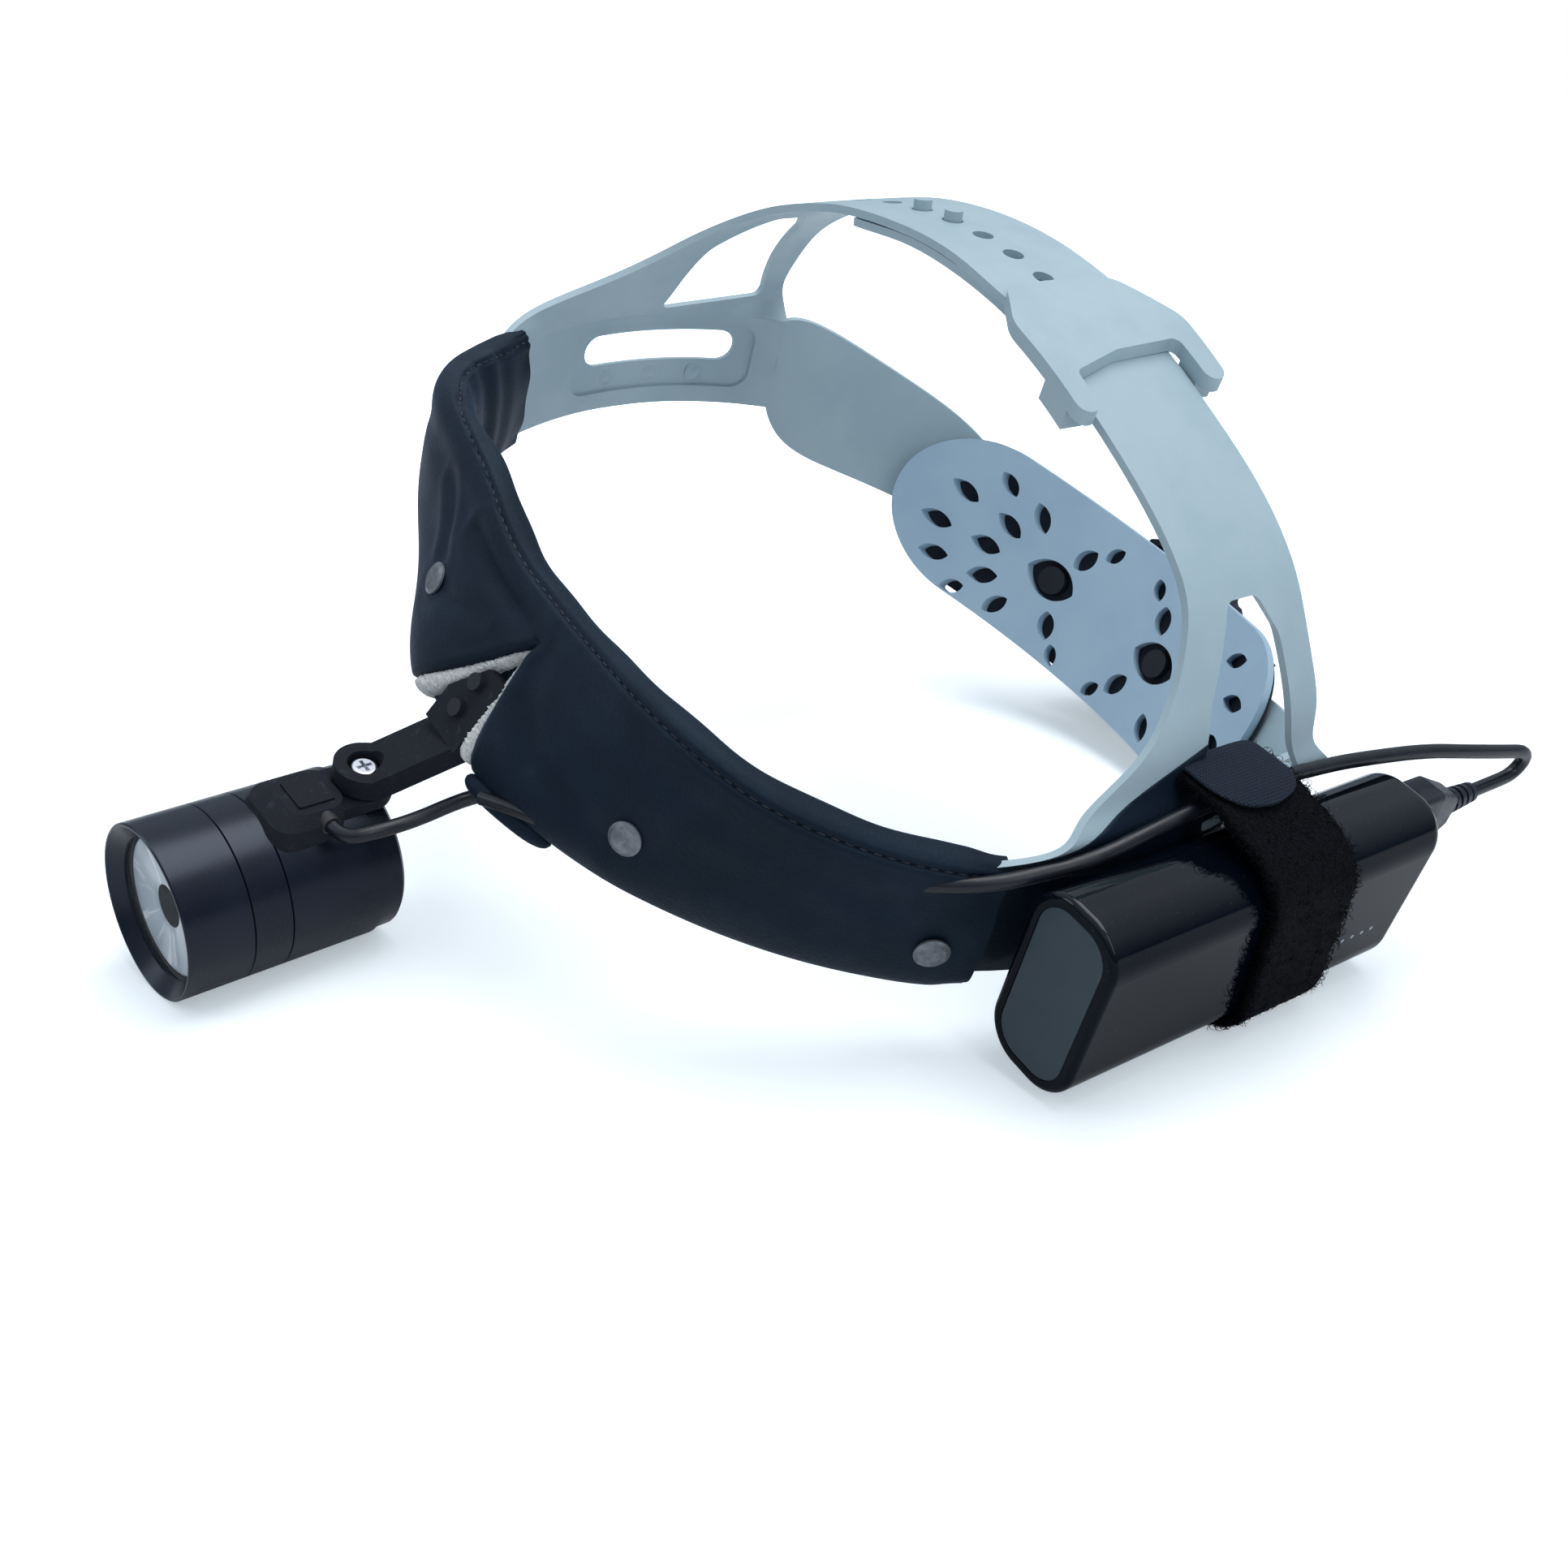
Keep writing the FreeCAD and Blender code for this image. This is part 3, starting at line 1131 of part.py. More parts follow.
insert_low, insert_top = radius + 0.1, lug_top - 0.2
swivel_up = Vector(0, 0, 1)
bracket = bracket.cut(rod(Vector(swivel_side, swivel_place, insert_low), swivel_up, insert_radius,
                          insert_top - insert_low))
bracket = bracket.cut(rod(Vector(swivel_side, swivel_place, insert_low), swivel_up, swivel_radius, 20))
grommet_radius = cable_radius + 0.5
grommet_spot = Vector(box_side + box_half - 0.6, 34.0, radius + 1.05)
grommet_out = 3.4
bracket = bracket.cut(rod(grommet_spot - Vector(2, 0, 0), Vector(1, 0, 0), grommet_radius, 10))
shaped("lamp_bracket", bracket.removeSplitter(), lamp_place)
insert = rod(Vector(swivel_side, swivel_place, insert_low + 0.02), swivel_up, insert_radius - 0.02,
             insert_top - insert_low - 0.04)
insert = insert.cut(rod(Vector(swivel_side, swivel_place, radius), swivel_up, swivel_radius, 9))
shaped("swivel_insert", insert, lamp_place)

lid = slab(flat_ring(box_half - lid_margin - 0.05, box_start + lid_margin + 0.05,
                     box_end - lid_margin - 0.05, box_height - lid_thick, 0.6),
           Vector(0, 0, lid_thick + 0.5))
shaped("bracket_lid", lid, lamp_place)

grommet = rod(grommet_spot, Vector(1, 0, 0), grommet_radius - 0.02, grommet_out)
grommet = grommet.cut(rod(grommet_spot - Vector(5, 0, 0), Vector(1, 0, 0), cable_radius + 0.02, 20))
shaped("cable_grommet", grommet, lamp_place)

# Swivel: a screw square to the lamp's axis clamps the arm on a washer
washer_thick = 0.4
washer = rod(Vector(swivel_side, swivel_place, lug_top), swivel_up, arm_half - 2.5, washer_thick)
washer = washer.cut(rod(Vector(swivel_side, swivel_place, lug_top - 1), swivel_up, swivel_radius, 3))
shaped("swivel_washer", washer, lamp_place)
arm_low = lug_top + washer_thick + 0.05
arm_seat = arm_low + 2.0
shank_start = radius + 0.15
head_start = arm_seat + 0.05
head_radius = 3.0
screw = rod(Vector(swivel_side, swivel_place, shank_start), swivel_up, swivel_radius,
            head_start - shank_start)
head = rod(Vector(swivel_side, swivel_place, head_start), swivel_up, head_radius, 1.9)
head = head.makeFillet(0.8, [edge for edge in head.Edges
                             if all(v.Point.z > head_start + 1.8 for v in edge.Vertexes)])
cross = block(swivel_side - 1.7, swivel_side + 1.7, swivel_place - 0.4, swivel_place + 0.4,
              head_start + 0.8, head_start + 5)
cross = cross.fuse(block(swivel_side - 0.4, swivel_side + 0.4, swivel_place - 1.7, swivel_place + 1.7,
                         head_start + 0.8, head_start + 5))
shaped("swivel_screw", screw.fuse(head).cut(cross).removeSplitter(), lamp_place)

# Lamp arm: from the swivel up the slope to a plate on the headband's face
swivel_low = lamp_place.multVec(Vector(swivel_side, swivel_place, arm_low))
swivel_axis = lamp_turn.multVec(Vector(0, 0, 1))
seat_spot = lamp_place.multVec(Vector(swivel_side, swivel_place, arm_seat))
slope = math.radians(num("arm_slope"))
root = on_band(0, 0, 0)
arm_side = num("plate_side")
arm_yaw = math.atan2(arm_side - swivel_low.x, root.y - swivel_low.y)
bar_deep = arm_thick / math.cos(slope) + 0.1
bar_start = swivel_low.y
bar_stop = bar_start + (root.y + 1.6 - bar_start) / math.cos(arm_yaw) + arm_half * math.tan(arm_yaw)
lug_upper = swivel_low.z + arm_thick
root_top = root.z + 0.2


def slope_y(z):
    """Where the arm's sloping upper face reaches a height."""
    return root.y + (z - root_top) / math.tan(slope)


def slope_z(y):
    """Height of the arm's sloping upper face."""
    return root_top + (y - root.y) * math.tan(slope)


bar = [(bar_start, swivel_low.z), (slope_y(swivel_low.z + bar_deep), swivel_low.z),
       (bar_stop, slope_z(bar_stop) - bar_deep), (bar_stop, slope_z(bar_stop)),
       (slope_y(lug_upper), lug_upper), (bar_start, lug_upper)]
bar = [Vector(swivel_low.x - arm_half, y, z) for y, z in bar]
arm = slab(Part.makePolygon(bar + [bar[0]]), Vector(arm_half * 2, 0, 0))
arm.rotate(swivel_low, Vector(0, 0, 1), -math.degrees(arm_yaw))
lug_disc = rod(swivel_low, swivel_axis, arm_half, arm_thick)
arm = arm.fuse(lug_disc)
plate_thick = 3.0
plate_low, plate_high = -2.0, 16.0
plate_corners = []
for side, height in ((-1, plate_low), (1, plate_low), (1, plate_high), (-1, plate_high)):
    spot = on_band(0, height, 0.15)
    spot.x = arm_side + side * arm_half
    plate_corners.append(spot)
mount_plate = slab(Part.makePolygon(plate_corners + [plate_corners[0]]), face_normal(0) * plate_thick)
mount_plate = mount_plate.common(notch_prism(0.7, plate_low - 1, plate_high + 1))
arm = arm.fuse(mount_plate)
band_clear = loft([quad(along, -0.15, band_height + 1, -12.0, 0.15) for along in band_stations[13:20]])
arm = arm.cut(band_clear)
under = lamp_place.multVec(Vector(swivel_side, swivel_place, arm_low - 30))
arm = arm.cut(rod(under, swivel_axis, 2 * arm_half, 30))
arm = arm.cut(rod(swivel_low - swivel_axis * 5, swivel_axis, swivel_radius + run_gap, 40))
arm = arm.cut(rod(seat_spot, swivel_axis, head_radius + 0.7, 30))
for height in arm_screw_heights:
    arm = arm.cut(rod(on_band(0, height, -4) + arm_shift, face_normal(0), arm_screw_radius + gap, 12))
shaped("lamp_arm", arm.removeSplitter())

arm_screws = []
arm_nuts = []
normal = face_normal(0)
nut_thick = 1.6
nut_reach = 2.2
for height in arm_screw_heights:
    shank = rod(on_band(0, height, -band_thick - nut_thick - 0.4) + arm_shift, normal, arm_screw_radius,
                band_thick + nut_thick + 0.6 + plate_thick)
    head = rod(on_band(0, height, 0.2 + plate_thick) + arm_shift, normal, 1.9, 1.4)
    arm_screws.append(shank.fuse(head).removeSplitter())
    ring = []
    nut_place = -band_thick - nut_thick - 0.2
    across = Vector(1, 0, 0)
    upward = normal.cross(across)
    for index in range(6):
        angle = math.radians(60 * index)
        ring.append(on_band(0, height, nut_place) + arm_shift
                    + across * (nut_reach * math.cos(angle)) + upward * (nut_reach * math.sin(angle)))
    nut = slab(Part.makePolygon(ring + [ring[0]]), normal * nut_thick)
    arm_nuts.append(nut.cut(rod(on_band(0, height, -8) + arm_shift, normal, arm_screw_radius, 16)))
shaped("arm_screws", Part.makeCompound(arm_screws))
shaped("arm_nuts", Part.makeCompound(arm_nuts))

# Power bank: a sleeve with two end caps, in a frame of its own

bank_thick = num("bank_thick")
bank_side = side_x(num("bank_back")) + num("bank_gap") + bank_thick / 2
bank_place = Placement(Vector(bank_side, num("bank_back"), num("bank_up")),
                       Rotation(Vector(0, 1, 0), num("bank_roll")))
bank_length = num("bank_length")
bank_height = num("bank_height")
bank_wall = num("bank_wall")
end_cap = num("end_cap")


def bank_slab(start, stop, shrink):
    """A length of the bank's rounded section, drawn in by a margin."""
    half, tall = bank_thick / 2 - shrink, bank_height / 2 - shrink
    wire = rounded_wire([Vector(-half, start, -tall), Vector(half, start, -tall),
                         Vector(half, start, tall), Vector(-half, start, tall)],
                        num("bank_corner") - shrink)
    return slab(wire, Vector(0, stop - start, 0))


near_end, far_end = -bank_length / 2, bank_length / 2
shell = bank_slab(near_end + end_cap, far_end - end_cap, 0).cut(
    bank_slab(near_end, far_end, bank_wall))
led_place_y = [far_end - 11.0 - index * 3.2 for index in range(4)]
led_place_z = -6.0
for y in led_place_y:
    shell = shell.cut(rod(Vector(0, y, led_place_z), Vector(1, 0, 0), 0.55, 20))
shaped("bank_shell", shell, bank_place)

leds = [rod(Vector(bank_thick / 2 - bank_wall, y, led_place_z), Vector(1, 0, 0), 0.5, bank_wall)
        for y in led_place_y]
shaped("charge_leds", Part.makeCompound(leds), bank_place)


def end_cap_shape(start, stop, outward):
    """An end cap: a rounded lid with a lip inside the sleeve."""
    lid = bank_slab(start, stop, 0)
    outer = stop if outward > 0 else start
    edges = [edge for edge in lid.Edges if all(abs(v.Point.y - outer) < 1e-4 for v in edge.Vertexes)]
    lid = lid.makeFillet(3.2 if outward > 0 else 1.4, edges)
    return lid


front_cap = end_cap_shape(near_end, near_end + end_cap, -1)
label = bank_slab(near_end - 1, near_end + 0.3, 2.6)
front_cap = front_cap.cut(label)
front_lip = bank_slab(near_end + end_cap, near_end + end_cap + 3, bank_wall + 0.05).cut(
    bank_slab(near_end, far_end, bank_wall + 1.2))
shaped("bank_front_cap", front_cap.fuse(front_lip).removeSplitter(), bank_place)

port_x, port_z = num("port_side"), num("port_up")
socket_half_x, socket_half_z = 2.9, 6.6
button_z = -11.0
button_radius = 3.0
rear_cap = end_cap_shape(far_end - end_cap, far_end, 1)
rear_lip = bank_slab(far_end - end_cap - 3, far_end - end_cap, bank_wall + 0.05).cut(
    bank_slab(near_end, far_end, bank_wall + 1.2))
rear_cap = rear_cap.fuse(rear_lip)
rear_cap = rear_cap.cut(block(port_x - socket_half_x, port_x + socket_half_x, far_end - 10, far_end + 5,
                              port_z - socket_half_z, port_z + socket_half_z))
rear_cap = rear_cap.cut(block(port_x + 4.6, port_x + 7.6, far_end - 10, far_end + 5,
                              port_z - 3.8, port_z + 3.8))
rear_cap = rear_cap.cut(rod(Vector(0, far_end - 10, button_z), Vector(0, 1, 0),
                            button_radius + run_gap, 20))
shaped("bank_rear_cap", rear_cap.removeSplitter(), bank_place)

cell_radius = num("cell_radius")
lip_long = 3.0
cells_start = near_end + end_cap + lip_long + 0.2
cells = [rod(Vector(0, cells_start, side * (cell_radius + 0.15)), Vector(0, 1, 0),
             cell_radius, num("cell_length")) for side in SIDES]
shaped("battery_cells", Part.makeCompound(cells), bank_place)
cells_end = cells_start + num("cell_length")
board_x = port_x - socket_half_x - 1.8
tray = bank_slab(near_end + end_cap + 3.2, cells_end + 1.0, bank_wall + 0.1)
for side in SIDES:
    tray = tray.cut(rod(Vector(0, near_end - 5, side * (cell_radius + 0.15)), Vector(0, 1, 0),
                        cell_radius + 0.05, 90))
tray = tray.cut(block(-20, 20, near_end, cells_end - 9, -1.5, 1.5))
tray = tray.cut(block(0.5, 20, near_end + end_cap + 6, cells_end - 4, -30, 30))
tray = tray.cut(block(-20, 20, near_end + end_cap + 6, cells_end - 4, 6, 30))
tray = tray.cut(block(-20, 20, near_end + end_cap + 6, cells_end - 4, -30, -6))
shaped("cell_tray", tray, bank_place)

board = block(board_x, board_x + 1.6, cells_end + 1.4, far_end - end_cap - 0.2, -14.5, 14.5)
shaped("bank_board", board, bank_place)
usb_depth = 13.0
usb = block(port_x - socket_half_x + 0.05, port_x + socket_half_x - 0.05, far_end - 0.8 - usb_depth,
            far_end - 0.8, port_z - socket_half_z + 0.05, port_z + socket_half_z - 0.05)
usb = usb.cut(block(port_x - socket_half_x + 0.35, port_x + socket_half_x - 0.35,
                    far_end - 0.3 - usb_depth, far_end, port_z - socket_half_z + 0.35,
                    port_z + socket_half_z - 0.35))
tongue_half = 0.9
usb = usb.fuse(block(port_x - socket_half_x + 0.3, port_x - socket_half_x + 0.3 + tongue_half * 2,
                     far_end - 0.8 - usb_depth, far_end - 4, port_z - 5.4, port_z + 5.4))
shaped("usb_socket", usb.removeSplitter(), bank_place)
charge = block(port_x + 4.7, port_x + 7.5, far_end - 6, far_end - 0.8, port_z - 3.7, port_z + 3.7)
charge = charge.cut(block(port_x + 5.0, port_x + 7.2, far_end - 5.6, far_end, port_z - 3.4, port_z + 3.4))
shaped("charge_socket", charge, bank_place)

travel = num("button_travel")
button = rod(Vector(0, far_end - 2.6, button_z), Vector(0, 1, 0), button_radius, 3.0)
flange = rod(Vector(0, far_end - 6.2, button_z), Vector(0, 1, 0), button_radius - 0.9, 3.6)
shaped("charge_button", button.fuse(flange).removeSplitter(), bank_place)
switch_top = far_end - 6.2 - travel - 0.1
switch = block(board_x + 1.6, 2.6, switch_top - 3.0, switch_top, button_z - 3, button_z + 3)
shaped("button_switch", switch, bank_place)

# Plug in the bank's usb port, with its strain relief
plug_half, plug_tall = 2.25, 6.0
plug_shell = block(port_x - plug_half + 0.3, port_x + plug_half, far_end - 11.6, far_end + 1.0,
                   port_z - plug_tall, port_z + plug_tall)
plug_shell = plug_shell.cut(block(port_x - plug_half, port_x + 0.9, far_end - 11.9, far_end - 1.0,
                                  port_z - plug_tall + 0.35, port_z + plug_tall - 0.35))
shaped("usb_plug_shell", plug_shell, bank_place)
boot_start = far_end + 0.3
boot_length = 21.0


def boot_ring(along, half, tall):
    """A rounded section of the plug's overmould, a length back from its face."""
    y = boot_start + along
    return rounded_wire([Vector(port_x - half, y, port_z - tall), Vector(port_x + half, y, port_z - tall),
                         Vector(port_x + half, y, port_z + tall), Vector(port_x - half, y, port_z + tall)],
                        1.6)


boot = loft([boot_ring(0, 4.2, 8.2), boot_ring(13.0, 4.2, 8.0), boot_ring(boot_length, 3.4, 4.4)],
            ruled=True)
boot = boot.cut(block(port_x - plug_half + 0.3, port_x + plug_half, boot_start - 1, far_end + 1.0,
                      port_z - plug_tall, port_z + plug_tall))
shaped("plug_overmould", boot, bank_place)
relief_start = boot_start + boot_length
relief_long = 11.0
relief = Part.makeCone(3.1, 2.3, relief_long, Vector(port_x, relief_start, port_z), Vector(0, 1, 0))
rib_count = 4
for index in range(rib_count):
    y = relief_start + 1.8 + index * 2.3
    ring = rod(Vector(port_x, y, port_z), Vector(0, 1, 0), 5, 0.9)
    ring = ring.cut(rod(Vector(port_x, y - 1, port_z), Vector(0, 1, 0), 2.2, 4))
    relief = relief.cut(ring)
relief_end = relief_start + relief_long
relief = relief.cut(rod(Vector(port_x, relief_end - 3, port_z), Vector(0, 1, 0), cable_radius, 5))
shaped("plug_relief", relief.removeSplitter(), bank_place)

# Hook-and-loop strap round the bank and the headband, through the crown's side opening

strap_front = num("strap_front")
strap_width = num("strap_width")
strap_thick = num("strap_thick")
clear = 0.3
inner_x = side_x(strap_front + strap_width, band_thick) - clear - 0.3


def bank_corner_spot(out, up, margin):
    """A corner of the bank's section in the head's frame, moved out by a margin."""
    local = Vector(out * (bank_thick / 2 + margin), 0, up * (bank_height / 2 + margin))
    spot = bank_place.multVec(local)
    return Vector(spot.x, strap_front, spot.z)


low_out = bank_corner_spot(1, -1, clear)
low_in = bank_corner_spot(-1, -1, clear)
top_out = bank_corner_spot(1, 1, clear)
cable_top = held_route[-2].z + cable_radius + clear
loop_points = [Vector(inner_x, strap_front, -0.5), low_in + Vector(2.5, 0, 0), low_out, top_out,
               Vector(bank_side - 8.2, strap_front, cable_top + 0.5),
               Vector(inner_x, strap_front, cable_top + 0.2)]
strap_corner = num("bank_corner") + clear
loop_wire = rounded_wire(loop_points, [2.0, 4.0, strap_corner, strap_corner, 8.0, 3.0])
loop_face = Part.Face(loop_wire)
outer_face = loop_face.makeOffset2D(strap_thick)
across = Vector(0, strap_width, 0)
strap_shape = outer_face.extrude(across).cut(loop_face.extrude(across))
shaped("hook_loop_strap", strap_shape)
tab_inner = loop_face.makeOffset2D(strap_thick + 0.1)
tab_outer = loop_face.makeOffset2D(strap_thick + 1.5)
tab = tab_outer.extrude(across).cut(tab_inner.extrude(across))
tab = tab.common(block(inner_x - 1.1, bank_side - 5.2, strap_front + 0.6,
                       strap_front + strap_width - 0.6, 24.0, 70.0))
shaped("strap_tab", tab)

# Free cable stretches

grommet_mouth = lamp_place.multVec(grommet_spot + Vector(grommet_out - 1.0, 0, 0))
exit_axis = lamp_turn.multVec(Vector(1, 0, 0))
held_start = (held_route[1] - held_route[0]).normalize()
front_route = [grommet_mouth, grommet_mouth + exit_axis * 6.0, Vector(11.6, brow_y - 18.5, -16.4),
               Vector(11.9, brow_y - 9.5, -13.6), held_route[0] - held_start * 6.5, held_route[0]]
shaped("cable_front", cable_tube("cable_front", front_route, cable_radius))

relief_mouth = bank_place.multVec(Vector(port_x, relief_end - 3, port_z))
relief_axis = bank_place.Rotation.multVec(Vector(0, 1, 0))
held_end = (held_route[-1] - held_route[-2]).normalize()
beside_bank = [(-10.6, 44.4, 36.9), (-8.0, 59.4, 36.4), (-5.4, 73.4, 34.2), (-3.8, 86.4, 31.6),
               (-3.0, 98.4, 28.8)]
rear_route = [held_route[-1], held_route[-1] + held_end * 9.0]
rear_route += [Vector(bank_side + x, num("bank_back") + y, height) for x, y, height in beside_bank]
rear_route += [relief_mouth + relief_axis * 20.0 + Vector(0, 0, 0.3), relief_mouth + relief_axis * 10.5,
               relief_mouth]
shaped("cable_rear", cable_tube("cable_rear", rear_route, cable_radius))

# Rest pose: tip the whole lamp over and stand it on its lowest points

tip = Placement(Vector(0, 0, 0), tip_turn)
doc.recompute()
FREE_CABLES = ("cable_front", "cable_rear", "usb_plug_shell", "plug_overmould", "plug_relief")
box = None
for node, obj in pieces.items():
    obj.Placement = tip.multiply(obj.Placement)
doc.recompute()
for node, obj in pieces.items():
    if node in FREE_CABLES:
        continue
    extent = obj.Shape.optimalBoundingBox(False, False)
    if box is None:
        box = extent
    else:
        box.add(extent)
shift = Placement(Vector(-box.Center.x, -box.Center.y, -box.ZMin), Rotation())
rest = shift.multiply(tip)
for node, obj in pieces.items():
    obj.Placement = shift.multiply(obj.Placement)
doc.recompute()

# Checks of every object, then the files
for obj in doc.Objects:
    if "Invalid" in obj.State or "Error" in obj.State:
        raise ValueError(f"{obj.Label} failed: {obj.State}")
os.makedirs("parts", exist_ok=True)
for node, obj in pieces.items():
    shape = obj.Shape
    if shape.isNull() or not shape.isValid() or shape.Volume <= 0:
        raise ValueError(f"{node} has no sound shape")
    print(f"{node}: {len(shape.Solids)} solid(s), {shape.Volume / 1000:.3f} cm3, "
          f"low {shape.BoundBox.ZMin:.2f}")
for node, obj in pieces.items():
    obj.Shape.exportStep(f"parts/{node}.step")
print("rest shift", shift.Base)
print("swivel", rest.multVec(swivel_low), rest.Rotation.multVec(swivel_axis))
knob_axis = nape_place.Rotation.multVec(Vector(0, 1, 0))
print("knob", rest.multVec(nape_place.Base), rest.Rotation.multVec(knob_axis))
print("nape slide axis", rest.Rotation.multVec(Vector(0, -1, 0)))
print("button axis", rest.multVec(bank_place.multVec(Vector(0, far_end, button_z))),
      rest.Rotation.multVec(relief_axis))
print(len(pieces), "nodes")
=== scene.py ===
# %% [markdown]
# # A head-worn work lamp
#
# The solids of the lamp arrive ready made, one mesh for each piece, in metres and
# already standing where they belong. What is added here is everything that a solid
# cannot say: padding, fuzz, thread, gloss, and light. We load the frame first.

# %% Load the frame
import math

import bmesh
import bpy
import numpy as np
from mathutils import Matrix


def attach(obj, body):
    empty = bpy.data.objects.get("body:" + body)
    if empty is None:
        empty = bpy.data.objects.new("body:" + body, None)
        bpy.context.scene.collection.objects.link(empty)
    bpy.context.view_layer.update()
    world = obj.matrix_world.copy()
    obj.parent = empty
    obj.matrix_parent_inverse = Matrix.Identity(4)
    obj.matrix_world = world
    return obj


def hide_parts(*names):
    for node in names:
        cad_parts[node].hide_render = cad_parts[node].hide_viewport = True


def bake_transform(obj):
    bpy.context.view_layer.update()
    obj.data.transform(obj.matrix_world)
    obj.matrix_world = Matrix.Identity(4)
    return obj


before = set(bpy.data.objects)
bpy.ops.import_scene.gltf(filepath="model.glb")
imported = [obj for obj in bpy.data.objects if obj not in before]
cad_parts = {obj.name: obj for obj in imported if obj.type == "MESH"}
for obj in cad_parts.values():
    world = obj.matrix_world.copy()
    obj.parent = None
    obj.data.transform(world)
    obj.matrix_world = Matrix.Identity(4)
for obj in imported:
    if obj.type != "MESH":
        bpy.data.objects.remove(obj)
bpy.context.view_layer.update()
print("pieces in the frame:", len(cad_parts))

# %% [markdown]
# ## Two frames, one lamp
#
# The maker works with the lamp on a level head: +X is the wearer's left, +Y the back
# of the head, +Z up, in millimetres. On the table the same lamp lies tipped to one
# side. One turn and one shift take any point from the head's frame to the table's,
# so every soft piece below can be written in the easy numbers of the head.

# %% From the head to the table
TILT = math.radians(20.4)
PITCH = math.radians(0.82)
SHIFT = np.array([-17.2565, 5.2886, 52.6763])


def about_x(angle):
    """A turn about the first axis."""
    return np.array([[1, 0, 0], [0, math.cos(angle), -math.sin(angle)],
                     [0, math.sin(angle), math.cos(angle)]])


def about_y(angle):
    """A turn about the second axis."""
    return np.array([[math.cos(angle), 0, math.sin(angle)], [0, 1, 0],
                     [-math.sin(angle), 0, math.cos(angle)]])


def about_z(angle):
    """A turn about the third axis."""
    return np.array([[math.cos(angle), -math.sin(angle), 0],
                     [math.sin(angle), math.cos(angle), 0], [0, 0, 1]])


TURN = about_x(PITCH) @ about_y(TILT)


def settle(points):
    """Head frame, millimetres, to table frame, metres: turn, then shift, then a thousandth."""
    return (np.asarray(points, float) @ TURN.T + SHIFT) / 1000


# %% [markdown]
# ## The camera
#
# The camera stands above the wearer's left brow, with a fairly short lens. It looks
# along its own -Z with +Y up, so its matrix is three columns: right, up and back, as
# seen from the table.

# %% Camera
CAMERA_RIGHT = [0.5407, 0.8126, 0.2174]
CAMERA_UP = [-0.645, 0.2346, 0.7273]
CAMERA_BACK = [0.54, -0.5334, 0.651]
CAMERA_SPOT = [234.25, -226.77, 232.55]

camera_data = bpy.data.cameras.new("camera")
camera_data.sensor_width = 36.0
camera_data.lens = 38.03
camera_data.clip_start = 0.01
camera = bpy.data.objects.new("camera", camera_data)
bpy.context.collection.objects.link(camera)
axes = np.array([CAMERA_RIGHT, CAMERA_UP, CAMERA_BACK]) @ TURN.T
stand = np.eye(4)
stand[:3, :3] = axes.T
stand[:3, 3] = settle(CAMERA_SPOT)
camera.matrix_world = Matrix(stand.tolist())
bpy.context.scene.camera = camera
print("camera stands at", np.round(stand[:3, 3], 3))

# %% [markdown]
# ## Surfaces from numbers
#
# Nearly every new piece is a grid: a point for each pair of parameters. The corner
# numbers of its four-sided faces follow from the row and column alone, so one helper
# makes the faces of any grid, open or closed either way, and another turns the arrays
# into a mesh.


# %% Grid helpers
def grid_faces(rows, columns, round_rows=False, round_columns=False):
    """Corner numbers of a grid's faces: row times columns plus column, wrapped where it closes."""
    row, column = np.meshgrid(np.arange(rows if round_rows else rows - 1),
                              np.arange(columns if round_columns else columns - 1), indexing="ij")
    below, beside = (row + 1) % rows, (column + 1) % columns
    corners = [row * columns + column, below * columns + column,
               below * columns + beside, row * columns + beside]
    return np.stack(corners, -1).reshape(-1, 4)


def close_ends(grid):
    """A grid between two more rows that run to a point, so that its ends are closed."""
    around = grid.shape[1]
    first, last = grid[:1].mean(1, keepdims=True), grid[-1:].mean(1, keepdims=True)
    return np.concatenate([np.repeat(first, around, 1), grid, np.repeat(last, around, 1)])


def show(work, mesh, sharp=None):
    """An object with the worked mesh, at the origin; turns beyond sharp degrees stay edges."""
    if sharp is not None:
        for face in work.faces:
            face.smooth = True
        for edge in work.edges:
            edge.smooth = edge.calc_face_angle(0.0) < math.radians(sharp)
    work.to_mesh(mesh)
    work.free()
    piece = bpy.data.objects.new(mesh.name, mesh)
    bpy.context.collection.objects.link(piece)
    print(mesh.name, "has", len(mesh.polygons), "faces")
    return piece


def make_mesh(name, points, faces, join=0.0, sharp=50.0):
    """A mesh object at the origin; near points are joined and its faces point outwards."""
    mesh = bpy.data.meshes.new(name)
    mesh.from_pydata(np.asarray(points).reshape(-1, 3).tolist(), [], np.asarray(faces).tolist())
    work = bmesh.new()
    work.from_mesh(mesh)
    if join:
        bmesh.ops.remove_doubles(work, verts=work.verts, dist=join)
    bmesh.ops.recalc_face_normals(work, faces=work.faces)
    return show(work, mesh, sharp)


def dress(piece, finish, body="headgear", replaces=()):
    """Give a new piece its finish and body, and hide the solids it stands for."""
    piece.data.materials.append(finish)
    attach(piece, body)
    if replaces:
        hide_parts(*replaces)
    return piece


# %% [markdown]
# ## Cables first
#
# The cable is a 3.2 mm round lead. It shows in two free stretches: from the lamp's
# bracket into the sweatband, and from the side of the headband over to the plug in
# the power bank. A NURBS curve of order three bends through its control points the
# way a springy lead does, so the route is only those points.

